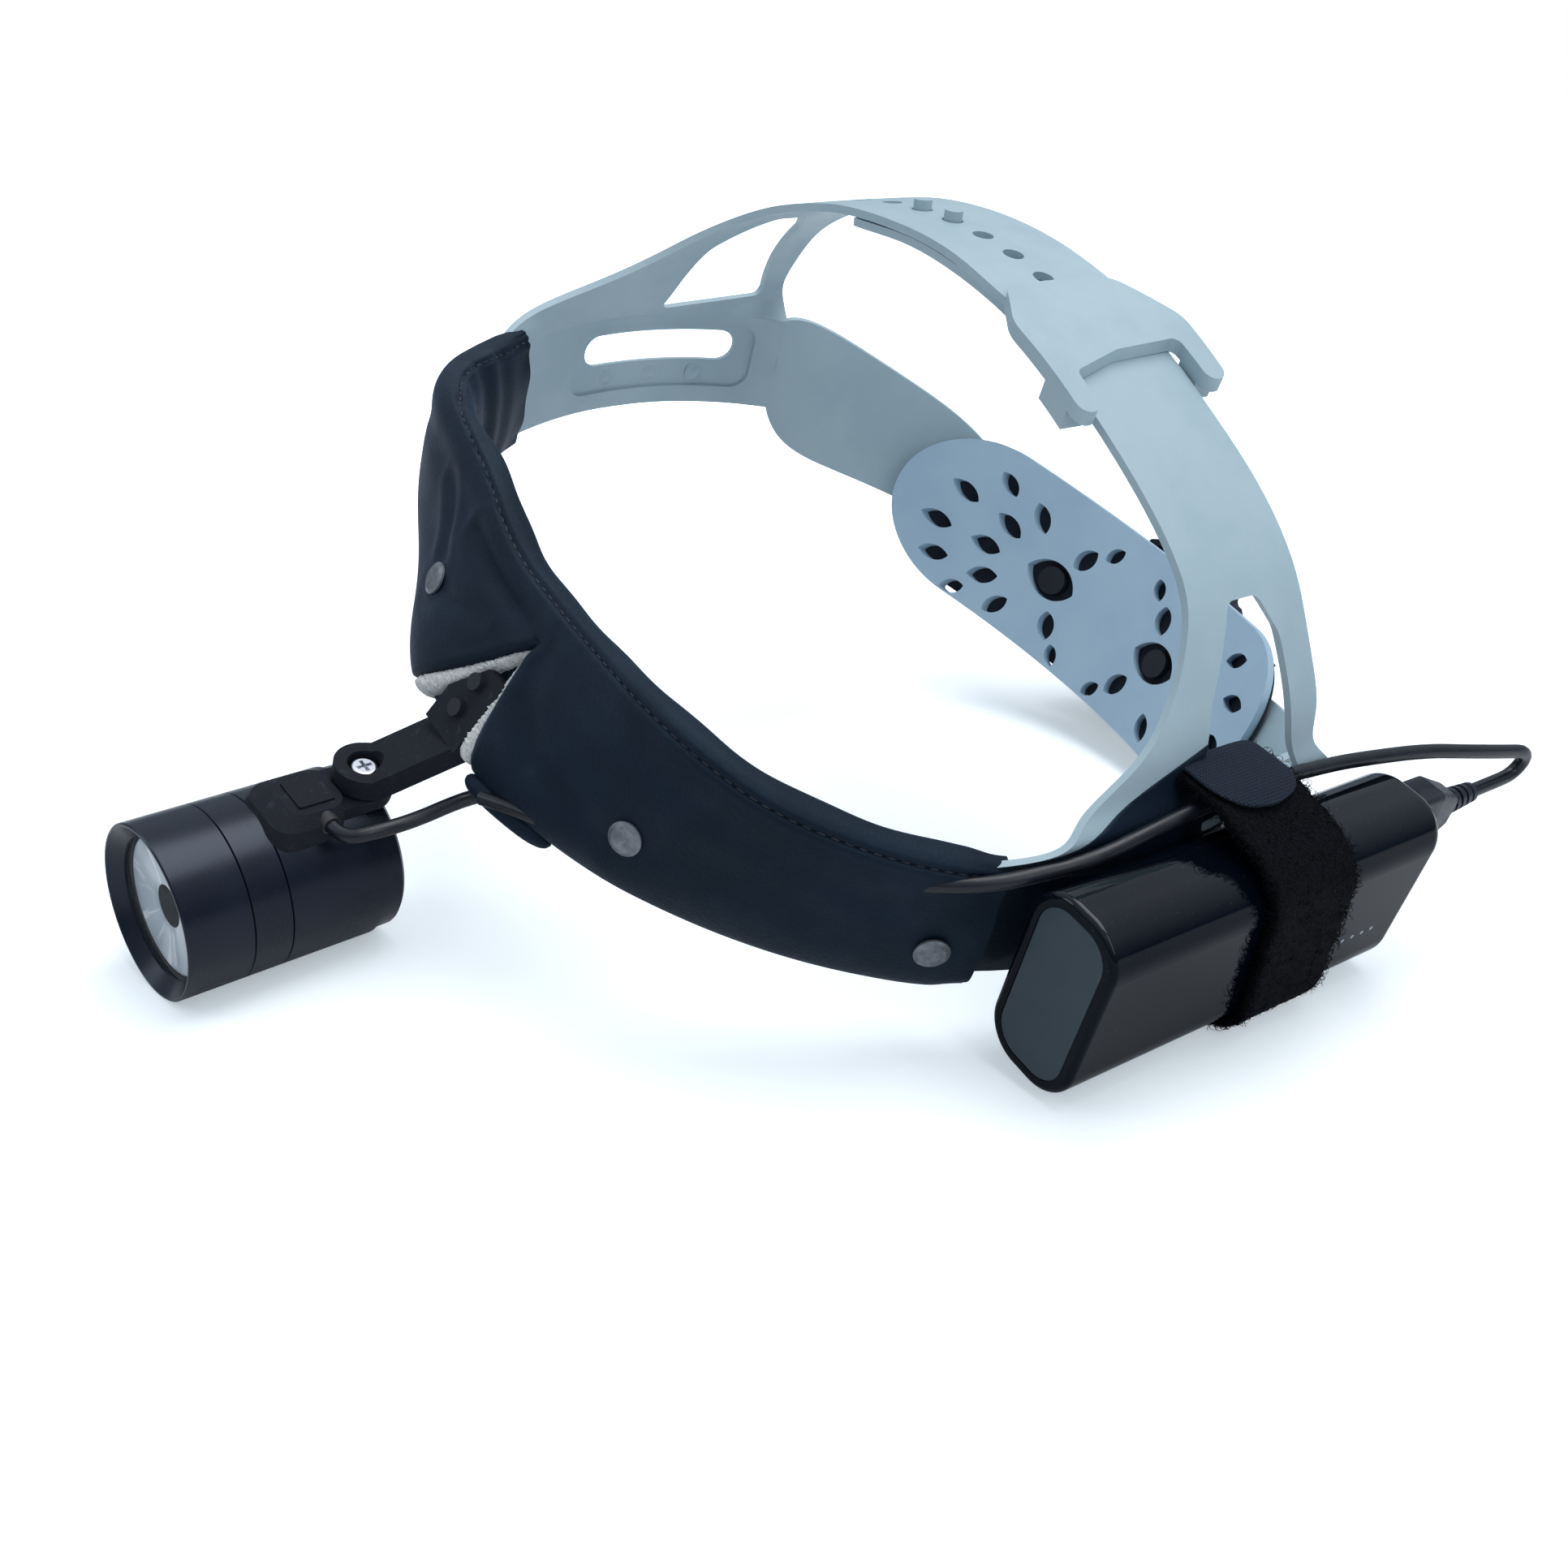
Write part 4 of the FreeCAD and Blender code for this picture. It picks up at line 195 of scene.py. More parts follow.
# %% Cable routes, in the head's frame
CABLE_RADIUS = 1.6
lamp_yaw = math.radians(6.9)
rest_up = TURN.T @ np.array([0, 0, 1.0])
ahead = rest_up[1] * math.cos(lamp_yaw) - rest_up[0] * math.sin(lamp_yaw)
level_drop = math.atan2(ahead, rest_up[2])
LAMP_TURN = about_z(lamp_yaw) @ about_x(-level_drop)
LAMP_LENGTH = 49.3
LAMP_FACE = np.array([-3.3, -134.51, -35.0]) - LAMP_TURN @ np.array([0, LAMP_LENGTH / 2, 0])


def on_lamp(points):
    """A point given beside, behind and above the middle of the lamp's face, in the head's frame."""
    return np.asarray(points, float) @ LAMP_TURN.T + LAMP_FACE


front_route = [on_lamp([9.5, 34.0, 20.15]), on_lamp([14.6, 34.0, 20.15]),
               [11.7, -116.9, -14.2], [11.6, -107.2, -13.9], [12.9, -98.5, -10.2],
               [17.0, -94.5, -5.5], [20.0, -93.5, -1.5]]
rear_route = [[107.6, 40.6, 37.6], [107.66, 49.57, 36.86], [109.6, 61.0, 36.9],
              [112.2, 76.0, 36.4], [114.8, 90.0, 34.2], [116.4, 103.0, 31.6], [117.2, 115.0, 28.8],
              [117.26, 114.4, 22.04], [117.26, 104.9, 21.74], [117.26, 94.4, 21.74]]


# %% [markdown]
# A curve object with a round bevel shows the rear stretch. The front stretch is a
# mesh: a small circle carried along the points of the same kind of spline, read back
# from a curve that has no bevel.

# %% Curves for the cable
def lead_curve(name, route, radius):
    """A NURBS curve of order three through a route's control points, as thick as the radius."""
    data = bpy.data.curves.new(name, "CURVE")
    data.dimensions = "3D"
    data.resolution_u = 16
    data.bevel_depth = radius / 1000
    data.bevel_resolution = 6
    data.use_fill_caps = radius > 0
    spline = data.splines.new("NURBS")
    spots = settle(route)
    spline.points.add(len(spots) - 1)
    spline.points.foreach_set("co", np.column_stack([spots, np.ones(len(spots))]).ravel())
    spline.order_u = 3
    spline.use_endpoint_u = True
    piece = bpy.data.objects.new(name, data)
    bpy.context.collection.objects.link(piece)
    return piece


def spline_points(route):
    """The smooth line of a route, as points read from its curve."""
    line = lead_curve("line", route, 0.0)
    bpy.context.view_layer.update()
    mesh = bpy.data.meshes.new_from_object(line)
    points = np.array([vertex.co for vertex in mesh.vertices])
    bpy.data.objects.remove(line)
    return points


def line_length(points):
    """Sum of the steps between points."""
    return float(np.linalg.norm(np.diff(points, axis=0), axis=1).sum())


def tube_points(path, radii, around):
    """Rings round a path: path + radius * (across * cos + over * sin), with level starts."""
    along = np.gradient(path, axis=0)
    along /= np.linalg.norm(along, axis=1, keepdims=True)
    across = np.cross(along, [0.0, 0.0, 1.0])
    across /= np.linalg.norm(across, axis=1, keepdims=True)
    over = np.cross(across, along)
    turn = np.linspace(0, 2 * np.pi, around, endpoint=False)
    ring = across[:, None] * np.cos(turn)[:, None] + over[:, None] * np.sin(turn)[:, None]
    return path[:, None] + ring * np.broadcast_to(radii, (len(path),))[:, None, None]


def closed_tube(name, path, radii, around):
    """A tube whose ends run to a point in the middle, so that it is closed."""
    rings = close_ends(tube_points(path, radii, around))
    return make_mesh(name, rings, grid_faces(len(rings), around, round_columns=True), join=1e-7)


rear_line, front_line = spline_points(rear_route), spline_points(front_route)
print("rear cable mm", round(line_length(rear_line) * 1000, 1))
print("front cable mm", round(line_length(front_line) * 1000, 1))

# %% [markdown]
# ## Finishes as sums
#
# A finish is a small calculation on the place of each point: how much grain, how much
# wear, which colour. Written as nodes it is a web of wires; written as sums it is a
# line of Python. The class below holds one socket, and its operators add the nodes.


# %% A socket that can be reckoned with
class Amount:
    """The value at one socket; + - * / and ** add Math nodes behind it."""

    def __init__(self, finish, socket):
        self.finish, self.socket = finish, socket

    def reckon(self, operation, first, second=0.0):
        return self.finish.add("ShaderNodeMath", {"operation": operation}, {0: first, 1: second})

    def __add__(self, other):
        return self.reckon("ADD", self, other)

    def __sub__(self, other):
        return self.reckon("SUBTRACT", self, other)

    def __rsub__(self, other):
        return self.reckon("SUBTRACT", other, self)

    def __mul__(self, other):
        return self.reckon("MULTIPLY", self, other)

    def __truediv__(self, other):
        return self.reckon("DIVIDE", self, other)

    def __pow__(self, other):
        return self.reckon("POWER", self, other)

    def ramp(self, low, high):
        """0 below low, 1 above high, a smooth step between."""
        return self.finish.add("ShaderNodeMapRange", {"interpolation_type": "SMOOTHSTEP"},
                               {"Value": self, "From Min": low, "From Max": high})

    __radd__, __rmul__ = __add__, __mul__


# %% [markdown]
# A finish starts as one shader. Its methods add the nodes that feed it: any node from
# its type, settings and values, and short names for the few that come up most.


# %% A finish under construction
class Finish:
    """A material with a Principled shader, and the nodes that feed it."""

    def __init__(self, name, colour, rough, **fixed):
        self.material = bpy.data.materials.new(name)
        self.material.use_nodes = True
        self.tree = self.material.node_tree
        self.shader = self.tree.nodes["Principled BSDF"]
        self.feed(**{"Base Color": colour, "Roughness": rough}, **fixed)

    def link(self, socket, value):
        if isinstance(value, Amount):
            self.tree.links.new(value.socket, socket)
        elif hasattr(socket.default_value, "__len__"):
            socket.default_value = (*value, 1.0)[:len(socket.default_value)]
        else:
            socket.default_value = value

    def add(self, kind, settings=None, values=None, output=0):
        """A node of a type with its settings made first and its sockets fed next."""
        node = self.tree.nodes.new(kind)
        for key, setting in (settings or {}).items():
            setattr(node, key, setting)
        for key, value in (values or {}).items():
            self.link(node.inputs[key], value)
        return Amount(self, node.outputs[output])

    def feed(self, **values):
        """Give sockets of the shader their values; _ stands for a blank in a socket's name."""
        for key, value in values.items():
            self.link(self.shader.inputs[key.replace("_", " ")], value)
        return self

    def place(self, scale=(1, 1, 1), turn=(0, 0, 0)):
        """The point's own place on the object, in metres, stretched and turned."""
        spot = self.add("ShaderNodeTexCoord", output="Object")
        return self.add("ShaderNodeMapping", {"vector_type": "POINT"},
                        {"Vector": spot, "Scale": scale, "Rotation": turn})

    def parts(self, vector):
        """The three numbers of a vector."""
        node = self.tree.nodes.new("ShaderNodeSeparateXYZ")
        self.link(node.inputs[0], vector)
        return [Amount(self, output) for output in node.outputs]

    def noise(self, scale, detail=3.0, rough=0.55, spot=None):
        """Soft clouds between 0 and 1."""
        return self.add("ShaderNodeTexNoise", None,
                        {"Vector": spot or self.place(), "Scale": scale, "Detail": detail,
                         "Roughness": rough})

    def cells(self, scale, feature="F1"):
        """Distance to the nearest of many scattered points, or to the edges between them."""
        return self.add("ShaderNodeTexVoronoi", {"feature": feature},
                        {"Vector": self.place(), "Scale": scale}, output="Distance")

    def blend(self, share, first, second):
        """The first colour where the share is 0, the second where it is 1."""
        node = self.tree.nodes.new("ShaderNodeMix")
        node.data_type = "RGBA"
        self.link(node.inputs[0], share)
        self.link(node.inputs[6], first)
        self.link(node.inputs[7], second)
        return Amount(self, node.outputs[2])

    def grain(self, height, deep, strength=1.0):
        """Tip the surface by a height that is worth so many metres at 1."""
        bump = self.add("ShaderNodeBump", None,
                        {"Height": height, "Distance": deep, "Strength": strength})
        return self.feed(Normal=bump)


# %% [markdown]
# ## Moulded plastic
#
# The headgear is a blue-grey thermoplastic with a satin skin. A mould leaves flow
# marks and faint clouds, and handling leaves small patches that are glossier than the
# rest, so colour and roughness each follow a slow noise. The nape pad is a softer,
# lighter and duller grade of the same thing.


# %% Moulded finishes
def moulded(name, colour, cloud, rough, grain_deep=0.00002):
    """Cloudy plastic: colour = blend(colour, cloud, slow noise); roughness swings with it."""
    made = Finish(name, colour, rough)
    slow = made.noise(38.0, 4.0, 0.6).ramp(0.35, 0.68)
    flow = made.noise(9.0, 2.0, 0.5, made.place(scale=(1.0, 0.35, 2.6)))
    rubbed = made.noise(160.0, 3.0, 0.6).ramp(0.52, 0.75)
    made.feed(**{"Base Color": made.blend(slow * 0.65 + flow * 0.25, colour, cloud),
                 "Roughness": slow * 0.10 + rubbed * -0.08 + rough})
    return made.grain(made.noise(2300.0, 2.0) + made.noise(330.0, 2.0) * 1.5, grain_deep)


GREY, GREY_CLOUD = (0.375, 0.485, 0.53), (0.31, 0.415, 0.465)
grey_plastic = moulded("headgear_plastic", GREY, GREY_CLOUD, 0.38).material
nape_plastic = moulded("nape_pad_plastic", (0.36, 0.50, 0.61), (0.31, 0.44, 0.56), 0.5).material
black_made = moulded("black_plastic", (0.006, 0.0075, 0.012), (0.011, 0.0135, 0.021), 0.52)
black_plastic = black_made.feed(Specular_IOR_Level=0.3).material

# %% [markdown]
# The lamp's bracket and arm are rougher than the rest, with fine layers and fibres, as
# on a printed or glass-filled part. Thin level lines under a fibre noise give both.


# %% Rough black of the arm and bracket
def layered_black():
    """Height = lines every 0.3 mm along Z + fibre noise; paler on the high spots."""
    made = Finish("layered_black", (0.012, 0.014, 0.02), 0.72, Specular_IOR_Level=0.25)
    lines = made.add("ShaderNodeTexWave", {"bands_direction": "Z"},
                     {"Vector": made.place(turn=(0.35, -0.36, 0.0)), "Scale": 520.0,
                      "Distortion": 1.5, "Detail": 2.0, "Detail Scale": 1.2})
    fibres = made.noise(1500.0, 4.0, 0.7)
    worn = made.noise(420.0, 3.0, 0.6).ramp(0.55, 0.8)
    made.feed(**{"Base Color": made.blend(fibres * 0.35 + worn * 0.4, (0.004, 0.005, 0.009),
                                          (0.019, 0.024, 0.040)),
                 "Roughness": 0.8 - worn * 0.22})
    return made.grain(lines * 0.35 + fibres * 0.65, 0.00009)


layered_plastic = layered_black().material

# %% [markdown]
# ## Turned and anodised
#
# The lamp's body is turned aluminium, anodised a satin black. Turning leaves rings
# round the axis. The lamp's own axis comes from the turns of the head and the lamp
# above: a Mapping node turns the pattern until its Y runs along the lamp, and bands
# across it are the rings.


# %% Anodised black
AXIS = TURN @ LAMP_TURN @ np.array([0.0, 1.0, 0.0])
CENTRE = settle(on_lamp([0.0, LAMP_LENGTH / 2, 0.0]))
SIDE = TURN @ LAMP_TURN @ np.array([1.0, 0.0, 0.0])
UPWARD = np.cross(SIDE, AXIS)
lamp_euler = Matrix(np.array([SIDE, AXIS, UPWARD]).tolist()).to_euler()


def on_lamp_axis(made, scale=(1, 1, 1)):
    """Places in the lamp's own frame, its Y along the axis, its origin at its middle."""
    spot = made.add("ShaderNodeTexCoord", output="Object")
    moved = made.add("ShaderNodeVectorMath", {"operation": "SUBTRACT"}, {0: spot, 1: tuple(CENTRE)})
    turned = made.add("ShaderNodeMapping", {"vector_type": "POINT"},
                      {"Vector": moved, "Rotation": tuple(lamp_euler)})
    return made.add("ShaderNodeVectorMath", {"operation": "MULTIPLY"}, {0: turned, 1: scale})


def anodised():
    """Rings from a noise stretched flat along the axis, and a slow cloud of dye."""
    made = Finish("anodised_black", (0.010, 0.014, 0.024), 0.30, Specular_IOR_Level=0.36,
                  Specular_Tint=(0.72, 0.82, 1.0))
    rings = made.noise(260.0, 4.0, 0.7, on_lamp_axis(made, (0.02, 8.0, 0.02)))
    cloud = made.noise(70.0, 3.0, 0.6).ramp(0.4, 0.7)
    dust = made.noise(2600.0, 1.0).ramp(0.66, 0.74)
    made.feed(**{"Base Color": made.blend(cloud * 0.5 + dust * 0.3, (0.0025, 0.004, 0.009),
                                          (0.006, 0.009, 0.018)),
                 "Roughness": rings * 0.10 + cloud * 0.05 + 0.22})
    return made.grain(rings + made.noise(1900.0, 2.0) * 0.25, 0.000012)


anodised_black = anodised().material

# %% [markdown]
# ## The small finishes
#
# Every piece gets one, those inside the housings too: whoever opens the lamp should
# find copper-coloured, green and steel pieces where they belong. Each is a base colour
# with one slow noise and one fine one.


# %% Plain finishes with a life of their own
def simple(name, colour, other, rough, metallic=0.0, scale=300.0, deep=0.00001, **fixed):
    """Colour swings to the other colour with noise; roughness swings by a tenth."""
    made = Finish(name, colour, rough, Metallic=metallic, **fixed)
    slow = made.noise(scale, 3.0, 0.6).ramp(0.35, 0.7)
    made.feed(**{"Base Color": made.blend(slow, colour, other),
                 "Roughness": slow * 0.12 + (rough - 0.05)})
    return made.grain(made.noise(scale * 7, 2.0), deep).material


steel = simple("bright_steel", (0.62, 0.64, 0.68), (0.50, 0.52, 0.57), 0.26, 1.0)
stud_metal = simple("stud_metal", (0.20, 0.215, 0.235), (0.13, 0.14, 0.16), 0.48, 0.75, 500.0,
                    0.00003)
stamped = simple("stamped_metal", (0.55, 0.57, 0.60), (0.42, 0.44, 0.48), 0.3, 1.0, 500.0)
bare_aluminium = simple("bare_aluminium", (0.72, 0.73, 0.75), (0.6, 0.61, 0.63), 0.35, 1.0)
brass = simple("brass", (0.75, 0.56, 0.24), (0.6, 0.42, 0.18), 0.35, 1.0)
spring_steel = simple("spring_steel", (0.5, 0.5, 0.52), (0.35, 0.35, 0.38), 0.3, 1.0)
green_board = simple("green_board", (0.02, 0.12, 0.045), (0.03, 0.17, 0.06), 0.4)
white_board = simple("white_board", (0.8, 0.8, 0.77), (0.7, 0.7, 0.66), 0.4)
phosphor = simple("phosphor", (0.85, 0.66, 0.12), (0.8, 0.58, 0.08), 0.5)
cell_wrap = simple("cell_sleeve", (0.04, 0.16, 0.28), (0.05, 0.19, 0.33), 0.3)
seal_rubber = simple("seal_rubber", (0.013, 0.013, 0.014), (0.02, 0.02, 0.022), 0.6)
moulded_rubber = simple("moulded_rubber", (0.009, 0.011, 0.019), (0.016, 0.020, 0.033), 0.42, 0.0,
                        420.0, 0.00003, Specular_IOR_Level=0.35)
led_clear = simple("light_guide", (0.30, 0.36, 0.44), (0.22, 0.27, 0.34), 0.2)
label_skin = simple("bare_label", (0.026, 0.042, 0.056), (0.032, 0.050, 0.066), 0.45, 0.0, 120.0,
                    0.000006, Specular_IOR_Level=0.3)
# painted shade: near-black for the deep well in the optic's middle
well_painted_shade = simple("optic_well", (0.002, 0.002, 0.003), (0.004, 0.004, 0.005), 0.6,
                    Specular_IOR_Level=0.1)

# %% [markdown]
# The power bank is gloss black lacquer: what one sees is nearly all reflection, so the
# colour stays almost black, roughness almost nothing, and hair scratches lift the
# roughness a little. The lacquer's coat is thickest where it faces up. The cable's
# jacket is the opposite, satin and soft.


# %% Gloss black and cable jacket
def gloss_black(name, colour):
    """Roughness = haze + fine scratches; dust lightens the colour; the coat is thicker on top."""
    made = Finish(name, colour, 0.05, Specular_IOR_Level=0.07, Specular_Tint=(0.62, 0.80, 1.0),
                  Coat_Roughness=0.04, Coat_IOR=1.4)
    upward = made.parts(made.add("ShaderNodeTexCoord", output="Normal"))[2].ramp(0.05, 0.75)
    haze = made.noise(45.0, 3.0, 0.6).ramp(0.4, 0.75)
    scratch = made.noise(90.0, 2.0, 0.5, made.place(scale=(1.0, 14.0, 1.0), turn=(0.2, 0.1, 0.6)))
    dust = made.noise(1800.0, 1.0).ramp(0.74, 0.78)
    made.feed(**{"Base Color": made.blend(dust * 0.5, colour, (0.05, 0.06, 0.075)),
                 "Roughness": haze * 0.05 + scratch.ramp(0.68, 0.72) * 0.08 + 0.035,
                 "Coat Weight": upward * 0.55 + 0.06})
    return made.material


bank_gloss = gloss_black("bank_gloss", (0.0012, 0.0024, 0.0055))
cap_gloss = gloss_black("bank_cap_gloss", (0.002, 0.0032, 0.0065))
jacket = simple("cable_jacket", (0.005, 0.006, 0.010), (0.009, 0.011, 0.017), 0.34, 0.0, 200.0,
                0.00001, Specular_IOR_Level=0.35)

# %% [markdown]
# The window is plain glass, and the dish behind it is bright. Real glass in a render
# costs noise, so the window is a nearly clear sheet with gloss: Alpha lets the view
# through and Fresnel keeps the shine. The dish is metal with streaks that run from
# the middle outwards, and these streaks are painted reflection: noise on the direction
# from the axis gives them.


# %% Window and dish
def window_glass():
    """Alpha = faint clouds of smudge on a low base; the gloss stays on top."""
    made = Finish("window_glass", (0.40, 0.46, 0.50), 0.05, Specular_IOR_Level=0.2)
    smudge = made.noise(140.0, 3.0, 0.6).ramp(0.45, 0.8)
    made.feed(Alpha=smudge * 0.05 + 0.05, Roughness=smudge * 0.10 + 0.02)
    return made.material


def bright_dish():
    """Painted reflection streaks: noise on the direction from the axis; they change roughness and
    brightness.
    """
    made = Finish("bright_dish", (0.62, 0.66, 0.70), 0.25, Coat_Weight=0.4)
    beside, _, above = made.parts(on_lamp_axis(made))
    reach = (beside * beside + above * above) ** 0.5
    ray = made.add("ShaderNodeCombineXYZ", None,
                   {"X": beside / reach, "Y": above / reach, "Z": reach * 12.0})
    # painted reflection: bright radial streaks in the dish's colour
    broad_reflection = made.noise(1.7, 1.0, 0.5, ray)
    reflection_streak = made.noise(5.5, 2.0, 0.6, ray)
    share = broad_reflection.ramp(0.35, 0.65) * 0.35 + reflection_streak.ramp(0.55, 0.62) * 0.65
    made.feed(**{"Base Color": made.blend(share, (0.42, 0.50, 0.55), (0.95, 0.97, 1.0)),
                 "Roughness": 0.34 - share * 0.14})
    return made.material


glass, dish_metal = window_glass(), bright_dish()
print("finishes so far:", len(bpy.data.materials))

# %% [markdown]
# ## The sweatband
#
# The sweatband is two felt-filled sleeves of thin black stretch skin, one to each side
# of the brow's notch, joined above it. Its whole shape follows the headband, so the
# band's own coordinates do the work: the length along it from the brow, the height up
# its leaning face, and the distance out of that face.


# %% Band coordinates
FRONT_RADIUS, SIDE_RADIUS, SPLIT, RING_MIDDLE = 112.0, 94.9, math.radians(50.0), 6.0
BROW_LEAN, LEAN_END = math.radians(34.0), 88.0
FAR_DRAW, DRAW_START, DRAW_LENGTH = 6.5, 6.0, 96.0
SIDE_X = (FRONT_RADIUS - SIDE_RADIUS) * math.sin(SPLIT)
FRONT_Y = RING_MIDDLE + (FRONT_RADIUS - SIDE_RADIUS) * math.cos(SPLIT)


def smooth(share):
    """3 t^2 - 2 t^3 with t held between 0 and 1."""
    share = np.clip(share, 0, 1)
    return share * share * (3 - 2 * share)


def plan(along):
    """Place and outward direction at a length from the brow: a brow arc, then a side arc."""
    side, length = np.where(along >= 0, 1.0, -1.0), np.abs(along)
    in_front = length < FRONT_RADIUS * SPLIT
    brow = length / FRONT_RADIUS
    flank = SPLIT - math.pi / 2 + (length - FRONT_RADIUS * SPLIT) / SIDE_RADIUS
    x = np.where(in_front, FRONT_RADIUS * np.sin(brow), SIDE_X + SIDE_RADIUS * np.cos(flank))
    y = np.where(in_front, FRONT_Y - FRONT_RADIUS * np.cos(brow),
                 RING_MIDDLE + SIDE_RADIUS * np.sin(flank))
    out_x = np.where(in_front, np.sin(brow), np.cos(flank))
    out_y = np.where(in_front, -np.cos(brow), np.sin(flank))
    drawn = np.clip((length - DRAW_START) / DRAW_LENGTH, 0, 1)
    draw = np.where(side < 0, FAR_DRAW * np.sin(np.pi * drawn) ** 2, 0)
    zero = np.zeros_like(x)
    return (np.stack([side * (x - out_x * draw), y - out_y * draw, zero], -1),
            np.stack([side * out_x, out_y, zero], -1))


def on_band(along, height, out):
    """Spot = plan + up * height + face * out, with up and face tipped by the lean."""
    along, height, out = np.broadcast_arrays(np.asarray(along, float), height, out)
    spot, normal = plan(along)
    lean = (BROW_LEAN * np.cos(np.pi / 2 * np.minimum(np.abs(along) / LEAN_END, 1)) ** 2)[..., None]
    level = np.array([0, 0, 1.0])
    up = level * np.cos(lean) - normal * np.sin(lean)
    face = normal * np.cos(lean) + level * np.sin(lean)
    return spot + up * height[..., None] + face * out[..., None]


# %% [markdown]
# A section of a sleeve is a rounded box with softer edges inside than out: the curve
# |out|^n + |height|^n = 1, with n 3.4 on the front and 2.3 against the head. Going
# round it are 80 points on the front and 80 behind, set an equal step apart.


# %% Section of a sleeve
PAD_REACH, PAD_DROP, PAD_FRONT, PAD_BACK, PAD_MIDDLE = 125.0, 3.0, 4.4, 8.0, 1.8
NOTCH_TALL, NOTCH_HALF, NOTCH_SLANT, NOTCH_MOUTH = 27.0, 12.0, 9.5, -4.0
CUT_BACK = 6.0
HALF_ROUND, FRONT_POWER, BACK_POWER = 80, 3.4, 2.3
BROW_RISE, END_RISE, RISE_START = 11.0, 4.0, 50.0


def even_turns(power, count):
    """Angles from -90 to 90 degrees whose points on a 6 by 20 mm section are evenly far apart."""
    fine = np.linspace(-np.pi / 2, np.pi / 2, 4000)
    across = 6.2 * np.cos(fine) ** (2 / power)
    up = 20.0 * np.sign(np.sin(fine)) * np.abs(np.sin(fine)) ** (2 / power)
    run = np.concatenate([[0], np.cumsum(np.hypot(np.diff(across), np.diff(up)))])
    return np.interp((np.arange(count) + 0.5) / count * run[-1], run, fine)


front_turns = even_turns(FRONT_POWER, HALF_ROUND)
turns = np.concatenate([front_turns, np.pi - front_turns[::-1]])
powers = np.where(np.cos(turns) > 0, FRONT_POWER, BACK_POWER)
SECTION_OUT = np.sign(np.cos(turns)) * np.abs(np.cos(turns)) ** (2 / powers)
SECTION_UP = np.sign(np.sin(turns)) * np.abs(np.sin(turns)) ** (2 / powers)


def pad_top(along):
    """Upper edge: 11 mm above the headband at the brow, 4 mm at the ends."""
    share = smooth((np.abs(along) - RISE_START) / (PAD_REACH - RISE_START))
    return NOTCH_TALL + BROW_RISE - (BROW_RISE - END_RISE) * share


def notch_edge(side, height):
    """Edge of the skin: the notch slants as it rises, and its half width runs out to nothing.

    On the wearer's right (side below 0) the skin is cut back further, to show the felt.
    """
    rise = np.minimum((height - NOTCH_MOUTH) / (NOTCH_TALL - NOTCH_MOUTH), 1)
    half = NOTCH_HALF + (CUT_BACK if side < 0 else 0.0)
    return NOTCH_SLANT * rise + side * half * (1 - rise)


def section(along, turn):
    """Height and out of a section's point, before the cloth's own swelling and creasing."""
    top = pad_top(along)
    depth = PAD_BACK - 2.6 * np.clip((np.abs(along) - 103) / 22, 0, 1) ** 2
    middle, half = (top - PAD_DROP) / 2, (top + PAD_DROP) / 2
    front_half, back_half = PAD_FRONT + PAD_MIDDLE, depth - PAD_MIDDLE
    across = np.where(SECTION_OUT[turn] > 0, front_half, back_half) * SECTION_OUT[turn]
    return middle + half * SECTION_UP[turn], across - PAD_MIDDLE


# %% [markdown]
# ### Where the cloth gives
#
# Skin over felt swells between its seams and sinks at them. The seam runs just under
# the top edge across the brow and slips over the top towards the wearer's right.
# Creases fall from it where the notch has been cut, and each press stud pulls the
# skin in. Every one of these is a smooth well: depth * exp(-(distance / width)^2).
# A crease is its line of spots (along, height), its depth and its width.


# %% Swelling and creases
STUDS = [(54.0, 11.0), (115.0, 10.0), (-31.0, 14.0), (-108.0, 11.0)]
random = np.random.default_rng(19)
WAVES = [(random.uniform(0.02, 0.16), random.uniform(0.02, 0.25), random.uniform(0, 6.3),
          random.uniform(0.3, 1)) for _ in range(14)]
CREASES = [([(-30, 29), (-10, 29), (8, 28.5)], 1.3, 2.2),
           ([(13, 27), (18, 18), (27, 10), (50, 8)], 0.95, 3.0),
           ([(-52, 27), (-41, 21), (-33, 16)], 0.8, 2.2),
           ([(-8, 22), (-20, 17), (-30, 14)], 0.6, 2.0),
           ([(60, 13), (78, 17), (96, 14)], 0.35, 4.0),
           ([(118, 12), (108, 17), (96, 22)], 0.4, 2.6)]


def well(distance, width):
    """exp(-(distance / width)^2)."""
    return np.exp(-(distance / width) ** 2)


def from_line(along, height, spots):
    """Distance in the band's own flat measure from a line of spots, and the share along it."""
    spots = np.asarray(spots, float)
    best, share = np.full(np.shape(along), 1e9), np.zeros(np.shape(along))
    steps = np.linalg.norm(np.diff(spots, axis=0), axis=1)
    done = 0.0
    for (start, end), step in zip(zip(spots[:-1], spots[1:]), steps):
        way = (end - start) / step
        run = np.clip((along - start[0]) * way[0] + (height - start[1]) * way[1], 0, step)
        far = np.hypot(along - start[0] - run * way[0], height - start[1] - run * way[1])
        share = np.where(far < best, (done + run) / steps.sum(), share)
        best = np.minimum(best, far)
        done += step
    return best, share


def seam_turn(along):
    """Where round the section the seam runs, as an angle in degrees."""
    return np.interp(along, [-125, -108, -82, -52, -26, 0, 125], [121, 115, 99, 68, 57, 55, 54])


